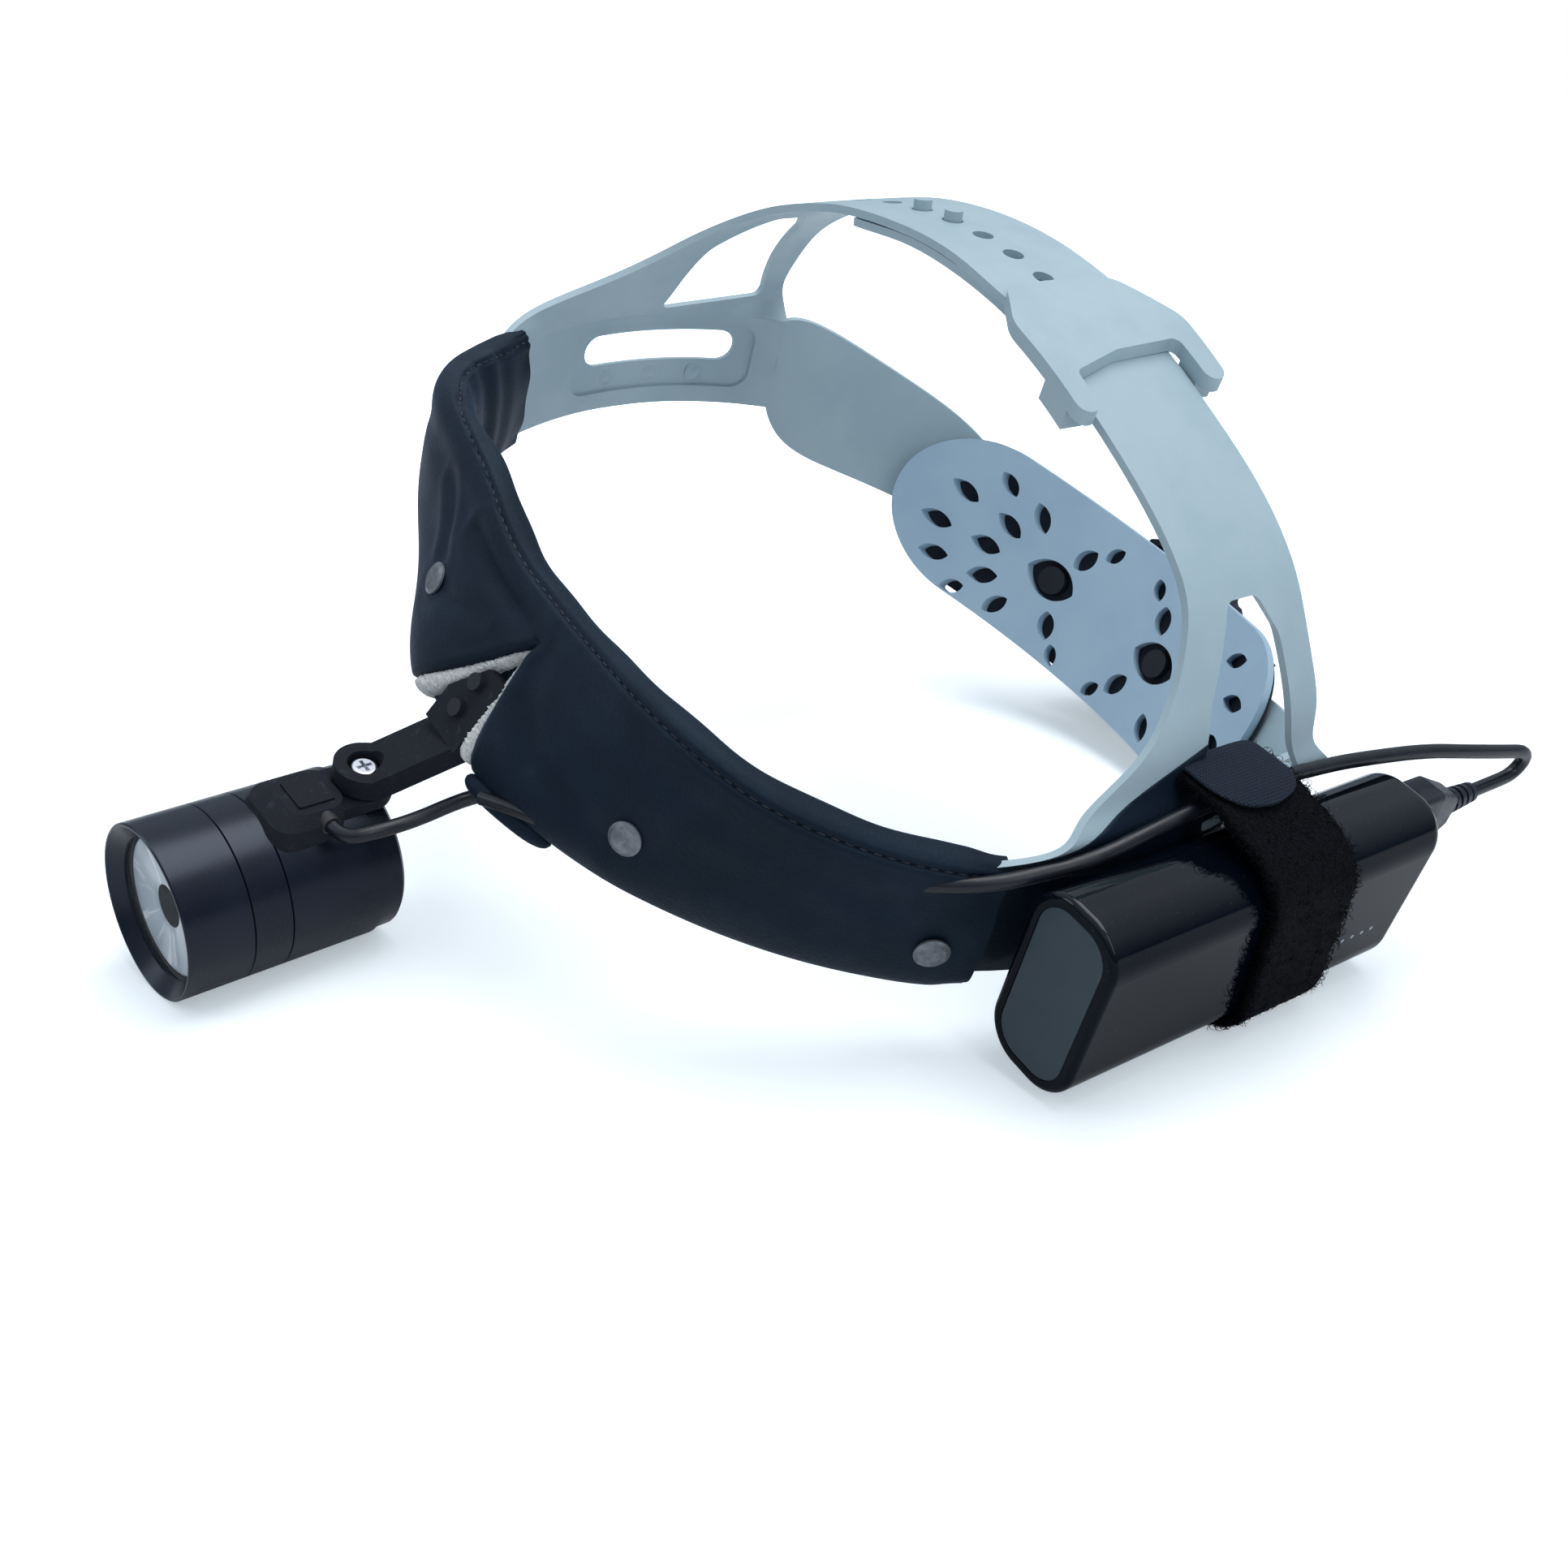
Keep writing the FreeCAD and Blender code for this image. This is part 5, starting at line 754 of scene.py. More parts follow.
def cloth_lift(along, height, turn_angle):
    """How far the skin stands out of the plain section, in millimetres."""
    degrees = np.degrees(turn_angle)
    facing = smooth((np.cos(turn_angle) + 0.15) / 0.5)
    behind = smooth((-np.cos(turn_angle) + 0.1) / 0.5)
    lift = sum(size * np.sin(a * along + b * height + start) for a, b, start, size in WAVES) * 0.045
    from_seam = (degrees - seam_turn(along)) * 0.36
    pucker = np.sin(along * 1.75 + 1.2 * np.sin(along * 0.31))
    lift += -0.55 * well(from_seam, 0.8) + pucker * 0.10 * well(from_seam, 3.0)
    lift += 0.25 * well(np.abs(from_seam) - 3.0, 2.0)
    low = pad_top(along) - height
    lift += facing * (-0.75 * well(low - 10.0, 4.5) + 0.35 * well(height - 7.0, 8.0))
    for spots, deep, width in CREASES:
        far, share = from_line(along, height, spots)
        lift -= facing * deep * well(far, width) * np.sin(np.pi * np.clip(share * 0.8 + 0.15, 0, 1))
        lift += facing * deep * 0.35 * well(far - width * 2.0, width)
    for stud_along, stud_height in STUDS:
        far = np.hypot(along - stud_along, height - stud_height)
        lift += facing * (-0.30 * well(far, 5.5) + 0.22 * well(far - 10.0, 3.5))
    folds = np.sin((along + 104) * 0.55 + height * 0.06) * well(along + 100, 16)
    lift += behind * 0.45 * folds + behind * 0.25 * np.sin(along * 0.23 + 0.7)
    ends = smooth((np.abs(along) - 117) / 8)
    lift += ends * (0.22 * np.sin(turn_angle * 9 + 1.0) - 0.5)
    return lift


# %% [markdown]
# The grid of a sleeve runs from the notch's slanting edge to the far end. At the far
# end the skin is turned in as a hem, and at the notch its front and back are closed
# by a wall, which the felt strip will cover. Above the notch the two sleeves share
# their edge, and joining near points makes them one.


# %% The skin
def skin_points(side, columns):
    """Places on one sleeve: rows go round the section, columns run from notch to end."""
    turn = np.arange(len(turns))[:, None]
    run = np.linspace(0, 1, columns)[None, :]
    height_there, _ = section(np.full((len(turns), 1), 0.0), turn)
    edge = notch_edge(side, height_there)
    along = edge + (side * PAD_REACH - edge) * run
    height, out = section(along, turn)
    base = on_band(along, height, out)
    outward = np.cross(np.gradient(base, axis=1), np.gradient(base, axis=0)) * side
    outward /= np.linalg.norm(outward, axis=-1, keepdims=True)
    centre = on_band(along, pad_top(along) / 2 - 1.5, -1.8)
    outward *= np.sign(np.sum(outward * (base - centre), -1, keepdims=True))
    lift = cloth_lift(along, height, turns[:, None] + 0 * along)
    rounding = -0.9 * well(run * (PAD_REACH + 2), 1.1) * (height < NOTCH_TALL + 1)
    return base + outward * (lift + rounding)[..., None], along, height


def sleeve(side, columns):
    """Points and faces of one sleeve with its hem, its end and its wall at the notch."""
    points, along, height = skin_points(side, columns)
    rows = len(turns)
    middle = points[:, -1].mean(0)
    inward = points[:, -2] - points[:, -1]
    inward /= np.linalg.norm(inward, axis=-1, keepdims=True)
    hem = [points[:, -1] * (1 - share) + middle * share + inward * back
           for share, back in ((0.05, 0.1), (0.07, 1.0), (0.12, 1.6), (0.5, 1.7), (1.0, 1.7))]
    grid = np.concatenate([points, np.stack(hem, 1)], 1)
    faces = [grid_faces(rows, grid.shape[1], round_rows=True)]
    cut = np.flatnonzero(height[:HALF_ROUND - 1, 0] < NOTCH_TALL)
    across = grid.shape[1]
    faces.append(np.stack([cut * across, (cut + 1) * across, (rows - 2 - cut) * across,
                           (rows - 1 - cut) * across], -1))
    return grid.reshape(-1, 3), np.concatenate(faces), points


right_points, right_faces, right_skin = sleeve(-1, 150)
left_points, left_faces, left_skin = sleeve(1, 156)
sweatband = make_mesh("sweatband", settle(np.concatenate([right_points, left_points])),
                      np.concatenate([right_faces, left_faces + len(right_points)]),
                      join=6e-5, sharp=75)

# %% [markdown]
# The skin is a matt stretch fabric with a leathery face: very fine pores, short
# wrinkles where it is strained, a cool sheen at grazing angles. Sheen is one plain
# number on its socket; only colour, roughness and bump vary over the surface.


# %% Skin finish
def skin_finish():
    """Height = pores + fine leather creases + slow softness; worn places are a little smoother."""
    made = Finish("sweatband_skin", (0.003, 0.006, 0.012), 0.62, Specular_IOR_Level=0.24,
                  Specular_Tint=(0.5, 0.75, 1.0), Sheen_Weight=0.05, Sheen_Roughness=0.4,
                  Sheen_Tint=(0.30, 0.55, 1.0))
    pores = made.cells(1700.0)
    creases = made.cells(520.0, "DISTANCE_TO_EDGE").ramp(0.0, 0.22)
    fibre = made.noise(3200.0, 2.0, 0.6)
    slow = made.noise(34.0, 3.0, 0.6).ramp(0.35, 0.7)
    made.feed(**{"Base Color": made.blend(slow * 0.6 + fibre * 0.2, (0.0018, 0.0040, 0.0085),
                                          (0.0050, 0.0105, 0.022)),
                 "Roughness": slow * -0.10 + pores * 0.06 + 0.60})
    return made.grain(pores * 0.4 + creases * 0.35 + fibre * 0.4, 0.00006)


sweatband_skin = skin_finish().material
dress(sweatband, sweatband_skin,
      replaces=("sweatband_cover", "sweatband_foam"))

# %% [markdown]
# ### Thread
#
# The stitches are short raised stubs, one every three millimetres, lying in the seam's
# groove. Their places are read off the finished skin, so they follow every pucker.
# Hundreds of them make one mesh: the shape of one stub, carried to each place.


# %% Many small stubs at once
def repeat_faces(one, count, points):
    """The faces of one small piece, again for each of many, every one with so many points."""
    return (one[None] + np.arange(count)[:, None, None] * points).reshape(-1, 4)


def ring_about(aside, over, turn):
    """Unit circles in the planes of two directions: a new axis of angles before the last."""
    return aside * np.cos(turn)[:, None] + over * np.sin(turn)[:, None]


def stubs(name, starts, ends, radius, around=6):
    """Capsules between pairs of points: a lens-shaped ring at each of five stations."""
    starts, ends = np.asarray(starts), np.asarray(ends)
    way = ends - starts
    length = np.linalg.norm(way, axis=1, keepdims=True)
    way /= length
    aside = np.cross(way, [0.3, 0.2, 1.0])
    aside /= np.linalg.norm(aside, axis=1, keepdims=True)
    over = np.cross(aside, way)
    share = np.array([0.0, 0.12, 0.5, 0.88, 1.0])
    wide = radius * np.sqrt(np.clip(1 - (2 * share - 1) ** 4, 0, 1))
    turn = np.linspace(0, 2 * np.pi, around, endpoint=False)
    spot = starts[:, None] + way[:, None] * length[:, None] * share[None, :, None]
    points = spot[:, :, None] + ring_about(aside[:, None, None], over[:, None, None],
                                           turn) * wide[None, :, None, None]
    one = grid_faces(len(share), around, round_columns=True)
    return make_mesh(name, points, repeat_faces(one, len(starts), len(share) * around), join=1e-8)


def seam_line(skin, side):
    """The seam on the skin: in each column, the place between two rows at the seam's angle."""
    run = np.linspace(0, 1, skin.shape[1])
    along = NOTCH_SLANT + (side * PAD_REACH - NOTCH_SLANT) * run
    row = np.interp(np.radians(seam_turn(along)), turns, np.arange(len(turns)))
    low, share = np.floor(row).astype(int), (row % 1)[:, None]
    columns = np.arange(skin.shape[1])
    return skin[low, columns] * (1 - share) + skin[low + 1, columns] * share


seam = np.concatenate([seam_line(right_skin, -1)[:1:-1], seam_line(left_skin, 1)[1:-1]])
run = np.concatenate([[0], np.cumsum(np.linalg.norm(np.diff(seam, axis=0), axis=1))])
STITCH_PITCH, STITCH_LONG = 2.8, 1.9
stitch_starts = np.arange(1.5, run[-1] - 4, STITCH_PITCH)
start_spots, end_spots = [np.stack([np.interp(at, run, seam[:, axis]) for axis in range(3)], 1)
                          for at in (stitch_starts, stitch_starts + STITCH_LONG)]
thread = simple("black_thread", (0.010, 0.012, 0.018), (0.022, 0.026, 0.038), 0.55, 0.0, 900.0,
                0.00004)
stitches = stubs("sweatband_stitches", settle(start_spots), settle(end_spots), 0.00021)
dress(stitches, thread)
print("stitches:", len(stitch_starts))

# %% [markdown]
# ### Felt at the notch
#
# Where the notch was cut the white felt shows as a soft, slightly swollen band, with
# loose fibres on it. Each side is a closed tube of flattened section that follows the
# cut edge, and a fine noise moves its surface so that it reads as wool.


# %% Felt strips
def felt_strip(name, side, low, high, at_mouth, at_tip):
    """Ellipses up the cut edge; at_mouth and at_tip are their reach into the notch."""
    rows, around = 130, 48
    share = np.linspace(0, 1, rows)[:, None]
    height = low + (high - low) * share
    taper = np.clip(1 - np.abs(2 * share - 1) ** 9, 0, 1) ** 0.5
    turn = np.linspace(0, 2 * np.pi, around, endpoint=False)[None, :]
    edge = notch_edge(side, height)
    rough = random.normal(0, 0.07, (rows, around))
    rough = rough + np.roll(rough, 1, 0) + np.roll(rough, 1, 1)
    wide = 5.1 * taper * (1 - 0.25 * share)
    out = -1.2 + (wide + rough * taper) * np.sign(np.cos(turn)) * np.abs(np.cos(turn)) ** 0.75
    reach = at_mouth + (at_tip - at_mouth) * share
    thick = (reach + 1.2) / 2
    aside = (thick + rough) * taper * np.sin(turn)
    grid = on_band(edge - side * (reach - 1.2) / 2 - aside, np.broadcast_to(height, out.shape), out)
    return make_mesh(name, settle(grid), grid_faces(rows, around, round_columns=True), join=2e-6)


def felt_finish():
    """White wool: fibres in two directions as bump, a soft sheen, and painted shade: grey where the
    fibre height is low.
    """
    made = Finish("white_felt", (0.80, 0.81, 0.79), 0.92, Sheen_Weight=0.35, Sheen_Roughness=0.5)
    fibre = made.noise(900.0, 5.0, 0.75, made.place(scale=(1.0, 2.6, 1.0)))
    cross_fibre = made.noise(1300.0, 4.0, 0.7, made.place(scale=(2.4, 1.0, 1.0)))
    high = (fibre + cross_fibre).ramp(0.75, 1.15)
    # painted shade: the colour turns grey where the fibre height is low
    made.feed(**{"Base Color": made.blend(high, (0.52, 0.56, 0.57), (0.86, 0.865, 0.84))})
    return made.grain(fibre + cross_fibre, 0.0005)


white_felt = felt_finish().material
for name, side, at_mouth, at_tip in (("felt_edge_right", -1, 6.4, 1.6),
                                     ("felt_edge_left", 1, 4.4, 2.0)):
    dress(felt_strip(name, side, -2.6, 26.4, at_mouth, at_tip), white_felt)

# %% [markdown]
# ## The hook-and-loop strap
#
# A strap of looped webbing goes round the power bank and in through the headband's
# side opening. Its path is a polygon with rounded corners, in a plane across the bank.
# The ribbon is swept round that path, and a pile of tiny curled loops stands on its
# face and hangs off both edges, which is what makes it look like this kind of strap.


# %% The strap's path
STRAP_FRONT, STRAP_WIDE, STRAP_THICK, STRAP_STEP = 15.2, 25.0, 2.2, 0.7
STRAP_MIDDLE = STRAP_FRONT + STRAP_WIDE / 2
INNER_X, STRAP_SKEW, STRAP_TALL = 99.13, 9.0, 41.0
BANK_CENTRE, BANK_ROLL = np.array([120.2, 16.6, 14.4]), math.radians(-3.4)
BANK_SIZE = (22.5, 97.0, 43.0)


def on_bank(points):
    """A point beside, behind and above the bank's middle, in the head's frame."""
    return np.asarray(points, float) @ about_y(BANK_ROLL).T + BANK_CENTRE


def round_path(corners, radii, step):
    """Evenly spaced points of a closed polygon whose corners are arcs of the given radii."""
    corners, points = np.asarray(corners, float), []
    for index, radius in enumerate(radii):
        here, before, after = corners[index], corners[index - 1], corners[(index + 1) % len(corners)]
        back, ahead = before - here, after - here
        back, ahead = back / np.linalg.norm(back), ahead / np.linalg.norm(ahead)
        half = math.acos(np.clip(back @ ahead, -1, 1)) / 2
        middle = here + (back + ahead) / np.linalg.norm(back + ahead) * radius / math.sin(half)
        start, stop = here + back * radius / math.tan(half), here + ahead * radius / math.tan(half)
        first = math.atan2(*(start - middle)[::-1])
        sweep = (math.atan2(*(stop - middle)[::-1]) - first + math.pi) % (2 * math.pi) - math.pi
        turn = first + sweep * np.linspace(0, 1, 14)
        points.append(middle + radius * np.stack([np.cos(turn), np.sin(turn)], 1))
    loop = np.concatenate(points + [points[0][:1]])
    run = np.concatenate([[0], np.cumsum(np.linalg.norm(np.diff(loop, axis=0), axis=1))])
    even = np.linspace(0, run[-1], int(run[-1] / step), endpoint=False)
    return np.stack([np.interp(even, run, loop[:, 0]), np.interp(even, run, loop[:, 1])], 1)


def bank_corner(out, up):
    """A corner of the bank's section with 0.3 mm round it, seen along the bank."""
    spot = on_bank([out * (BANK_SIZE[0] / 2 + 0.3), 0, up * (BANK_SIZE[2] / 2 + 0.3)])
    return spot[[0, 2]]


def strap_drift(height):
    """The strap lies askew: forward by nine millimetres at the top, nothing at the bottom."""
    return -STRAP_SKEW * np.clip(height / STRAP_TALL, 0, 1)


strap_corners = [[INNER_X, -0.5], bank_corner(-1, -1) + [2.5, 0], bank_corner(1, -1),
                 bank_corner(1, 1), [112.0, 40.9], [INNER_X, 39.4]]
strap_path = round_path(strap_corners, [2.0, 4.0, 9.3, 9.3, 8.0, 3.0], STRAP_STEP)
path_way = np.roll(strap_path, -1, 0) - np.roll(strap_path, 1, 0)
path_way /= np.linalg.norm(path_way, axis=1, keepdims=True)
path_out = np.stack([path_way[:, 1], -path_way[:, 0]], 1)
path_out *= np.sign(np.sum(path_out * (strap_path - strap_path.mean(0)), 1).sum())
print("strap round mm:", round(len(strap_path) * STRAP_STEP, 1))


# %% The ribbon
def ribbon(name, path, out, low, high, front, rear, wobble):
    """A band swept round a closed path: a rounded rectangle between two depths and two edges."""
    around = 72
    turn = np.linspace(0, 2 * np.pi, around, endpoint=False)[None, :]
    across = np.sign(np.cos(turn)) * np.abs(np.cos(turn)) ** 0.16
    deep = np.sign(np.sin(turn)) * np.abs(np.sin(turn)) ** 0.5
    run = np.arange(len(path))[:, None]
    soft = wobble * (np.sin(run * 0.31 + 2.0) + 0.6 * np.sin(run * 0.83)
                     + 0.5 * np.sin(run * 1.9 + 1.0))
    y = (front + rear) / 2 + (rear - front) / 2 * across + soft * np.abs(across) ** 4
    y = y + strap_drift(path[:, 1:])
    ripple = 1 + 0.18 * wobble * np.sin(run * 0.57 + across * 3)
    depth = (low + high) / 2 + (high - low) / 2 * deep * ripple
    spot = path[:, None, :] + out[:, None, :] * depth[..., None]
    grid = np.stack([spot[..., 0], y, spot[..., 1]], -1)
    faces = grid_faces(len(grid), around, round_rows=True, round_columns=True)
    return make_mesh(name, settle(grid), faces, join=1e-7, sharp=80)


def pile_finish():
    """Matt black tangle: cells and noise as bump, and a weak blue-grey sheen painted into the colour
    where the fuzz is high.
    """
    made = Finish("looped_pile", (0.006, 0.007, 0.010), 0.95, Specular_IOR_Level=0.1)
    curl = made.cells(1150.0, "DISTANCE_TO_EDGE").ramp(0.0, 0.3)
    fuzz = made.noise(1600.0, 4.0, 0.7)
    # painted sheen: the colour turns lighter blue-grey where the fuzz is high
    made.feed(**{"Base Color": made.blend(fuzz.ramp(0.45, 0.75), (0.0018, 0.002, 0.0035),
                                          (0.0085, 0.010, 0.015))})
    return made.grain(curl * 0.6 + fuzz, 0.0006)


looped_pile = pile_finish().material
strap = ribbon("strap_ribbon", strap_path, path_out, 0.05, STRAP_THICK - 0.15, STRAP_FRONT + 0.5,
               STRAP_FRONT + STRAP_WIDE - 0.5, 0.22)
dress(strap, looped_pile, replaces=("hook_loop_strap",))


# %% [markdown]
# The curls are half rings of a three-sided thread, five pieces long: few faces each,
# because there are thousands. Their places, turns and sizes come from one seeded
# random generator, so the strap is the same on every run.


# %% Curled loops
def unit(vectors):
    """The same directions, each one long."""
    return vectors / np.linalg.norm(vectors, axis=-1, keepdims=True)


def curls(name, feet, ways, sides, sizes, thick):
    """Arcs of 200 degrees: foot + size * (way * sin + side * (1 - cos)), as three-sided tubes."""
    share = np.linspace(0, 1, 6)
    arc = math.radians(200) * share
    wide = thick * (1 - 0.55 * share)
    sine, cosine = np.sin(arc)[None, :, None], np.cos(arc)[None, :, None]
    arch = ways[:, None] * sine + sides[:, None] * (1 - cosine)
    spot = feet[:, None] + sizes[:, None, None] * arch
    along = ways[:, None] * cosine + sides[:, None] * sine
    flat = unit(np.cross(ways, sides)[:, None] + 0 * along)
    over = np.cross(along, flat)
    points = spot[:, :, None] + ring_about(flat[:, :, None], over[:, :, None],
                                           np.radians([0, 120, 240])) * wide[None, :, None, None]
    one = grid_faces(6, 3, round_columns=True)
    return make_mesh(name, settle(points), repeat_faces(one, len(feet), 6 * 3))


CURLS = 4600
spin = np.random.default_rng(7)
station = spin.integers(0, len(strap_path), CURLS)
on_edge = spin.random(CURLS) < 0.5
edge_side = np.where(spin.random(CURLS) < 0.6, -1.0, 1.0)
across = np.where(on_edge, edge_side * spin.uniform(0.93, 1.0, CURLS), spin.uniform(-1, 1, CURLS))
depth = np.where(on_edge, spin.uniform(0.4, 2.0, CURLS), STRAP_THICK - 0.35)
flat_spot = strap_path[station] + path_out[station] * depth[:, None]
foot_y = STRAP_FRONT + STRAP_WIDE / 2 * (1 + across * 0.97) + strap_drift(flat_spot[:, 1])
feet = np.stack([flat_spot[:, 0], foot_y, flat_spot[:, 1]], 1)
outward = np.stack([path_out[station][:, 0], np.zeros(CURLS), path_out[station][:, 1]], 1)
sideways = np.zeros((CURLS, 3))
sideways[:, 1] = edge_side
lean_out = unit(np.where(on_edge[:, None], sideways + 0.35 * outward, outward)
                + spin.normal(0, 0.35, (CURLS, 3)))
aside = unit(np.cross(lean_out, spin.normal(0, 1, (CURLS, 3))))
keep = (flat_spot[:, 0] >= 108) | (flat_spot[:, 1] >= 38)
sizes = np.where(on_edge, spin.uniform(0.45, 1.05, CURLS), spin.uniform(0.2, 0.5, CURLS))
pile = curls("strap_pile", feet[keep], lean_out[keep], aside[keep], sizes[keep], 0.085)
dress(pile, looped_pile)

# %% [markdown]
# The strap's end is a woven tab of blue-grey tape, folded over on top. It follows the
# same path a little further out, and its free end is cut round. Warp and weft are two
# waves across each other in the tape's own UV map, measured in millimetres.


# %% The woven tab
def woven_finish():
    """Two crossed waves in UV; the higher one wins, and its thread is the lighter."""
    made = Finish("woven_tab", (0.10, 0.15, 0.22), 0.85, Specular_IOR_Level=0.15)
    flat = made.add("ShaderNodeUVMap")
    warp = made.add("ShaderNodeTexWave", {"bands_direction": "X"}, {"Vector": flat, "Scale": 0.42})
    weft = made.add("ShaderNodeTexWave", {"bands_direction": "Y"}, {"Vector": flat, "Scale": 0.42})
    lint = made.noise(1500.0, 4.0, 0.7)
    weave = warp * weft
    made.feed(**{"Base Color": made.blend(weave * 0.8 + lint * 0.3, (0.006, 0.009, 0.016),
                                          (0.032, 0.047, 0.075))})
    return made.grain(weave + lint * 0.5, 0.0003)


def tab_leaf():
    """Tape along part of the path: width falls to a round end, thickness 1.1 mm, slightly arched."""
    chosen = np.flatnonzero((strap_path[:, 1] > 36.5) & (strap_path[:, 0] < 116.0))
    order = chosen[np.argsort(strap_path[chosen, 0] - strap_path[chosen, 1] * 0.2)]
    path, out = strap_path[order], path_out[order]
    around = 64
    share = np.linspace(0, 1, len(order))[:, None]
    half = 10.8 * np.clip(1 - np.clip((share - 0.55) / 0.45, 0, 1) ** 2.6, 0.02, 1) ** 0.5
    turn = np.linspace(0, 2 * np.pi, around, endpoint=False)[None, :]
    across = np.sign(np.cos(turn)) * np.abs(np.cos(turn)) ** 0.2
    deep = np.sign(np.sin(turn)) * np.abs(np.sin(turn)) ** 0.6
    lift = STRAP_THICK + 0.55 + 0.45 * np.sin(np.pi * share) * (1 - across ** 2) + 0.5 * share ** 3
    depth = lift + 0.5 * deep
    y = STRAP_MIDDLE + half * across + strap_drift(path[:, 1:])
    spot = path[:, None] + out[:, None] * depth[..., None]
    grid = close_ends(np.stack([spot[..., 0], y, spot[..., 1]], -1))
    piece = make_mesh("strap_end_tab", settle(grid),
                      grid_faces(len(grid), around, round_columns=True), join=1e-7, sharp=70)
    flat = piece.data.uv_layers.new(name="tape")
    spots = np.array([piece.data.vertices[loop.vertex_index].co for loop in piece.data.loops])
    level = (spots * 1000 - SHIFT) @ TURN
    places = np.column_stack([level[:, 1], level[:, 0] - level[:, 2] * 0.5])
    flat.data.foreach_set("uv", places.ravel())
    return piece


dress(tab_leaf(), woven_finish().material, replaces=("strap_tab",))

# %% [markdown]
# ## The lamp's face
#
# Behind the glass sits a moulded optic: a bright, faintly hollowed ring with a well in
# its middle, where the led looks out; the well is closed and near-black, as painted
# shade. Both are profiles turned round the lamp's axis. A profile is a list of radius
# and depth behind the lamp's face.


# %% Turned pieces
def turned_piece(name, profile, around=96):
    """Rings of radius r at depth d behind the lamp's face, closed where r is 0."""
    profile = np.asarray(profile, float)
    turn = np.linspace(0, 2 * np.pi, around, endpoint=False)[None, :]
    radius, depth = profile[:, :1], profile[:, 1:]
    grid = on_lamp(np.stack([radius * np.cos(turn), depth + 0 * turn, radius * np.sin(turn)], -1))
    faces = grid_faces(len(profile), around, round_rows=profile[0, 0] > 0, round_columns=True)
    return make_mesh(name, settle(grid), faces, join=1e-7, sharp=35)


DISH = [(15.05, 4.40), (14.7, 4.36), (14.35, 4.5), (12.5, 4.62), (10.0, 4.8), (7.5, 4.95),
        (5.6, 5.0), (4.7, 4.9), (4.7, 5.5), (10.0, 5.6), (15.05, 5.5)]
WELL = [(0.0, 11.4), (3.9, 11.3), (4.45, 6.0), (4.6, 4.98), (4.75, 4.98), (4.75, 11.8),
        (0.0, 11.8)]
dish = turned_piece("optic_dish", DISH)
dress(dish, dish_metal, body="lamp", replaces=("optic",))
dress(turned_piece("optic_well", WELL), well_painted_shade, body="lamp")

# %% [markdown]
# ## The bank's end
#
# The power bank's front end is finished with a thin dark film: a rounded plate in the
# shallow recess of the end cap, with a softly rolled edge.


# %% Film on the bank's end
def rounded_outline(half_x, half_z, radius, per_corner=12):
    """Corner arcs of a rounded rectangle, joined by its straight sides."""
    turn = np.linspace(0, np.pi / 2, per_corner)
    pieces = [np.stack([sx * (half_x - radius) + radius * np.cos(turn + start),
                        sz * (half_z - radius) + radius * np.sin(turn + start)], 1)
              for sx, sz, start in ((1, 1, 0), (-1, 1, np.pi / 2), (-1, -1, np.pi),
                                    (1, -1, 1.5 * np.pi))]
    return np.concatenate(pieces)


def label_plate():
    """Rings of the outline, drawn in towards the middle, with the edge rounded over 0.2 mm."""
    half_x, half_z = BANK_SIZE[0] / 2 - 2.75, BANK_SIZE[2] / 2 - 2.75
    rings = []
    for inset, y in ((0.0, -48.19), (0.0, -48.36), (0.06, -48.43), (0.2, -48.45), (3.0, -48.45)):
        outline = rounded_outline(half_x - inset, half_z - inset, max(6.2 - inset, 1))
        rings.append(np.column_stack([outline[:, 0], np.full(len(outline), y), outline[:, 1]]))
    grid = close_ends(np.stack(rings))
    faces = grid_faces(len(grid), grid.shape[1], round_columns=True)
    return make_mesh("bank_label", settle(on_bank(grid)), faces, join=1e-7, sharp=30)


dress(label_plate(), label_skin)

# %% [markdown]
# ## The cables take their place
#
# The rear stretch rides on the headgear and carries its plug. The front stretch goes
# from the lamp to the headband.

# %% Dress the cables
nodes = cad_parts
rear_cable = lead_curve("rear_lead", rear_route, CABLE_RADIUS)
dress(rear_cable, jacket, replaces=("cable_rear",))

front_cable = closed_tube("front_lead", front_line, CABLE_RADIUS / 1000, 24)
front_cable.data.materials.append(jacket)
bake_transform(front_cable)
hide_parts("cable_front")

# %% [markdown]
# A rolled hem hangs under the sweatband where the cable goes in and hides its end.

# %% The hem over the cable
hem_share = np.linspace(0, 1, 40)
hem_line = settle(on_band(13.0 + 24.0 * hem_share, -4.0 + 0.0 * hem_share, 1.0 - 1.5 * hem_share))
hem_radii = 0.0023 * np.clip(1 - np.abs(2 * hem_share - 1) ** 5, 0.01, 1) ** 0.5
hem = closed_tube("cable_hem", hem_line, hem_radii, 24)
dress(hem, sweatband_skin)

# %% [markdown]
# ## Finishes for the solids
#
# The solids that keep their own shape need only a finish. Each one's first material
# slot is given the finish of what it is made of.

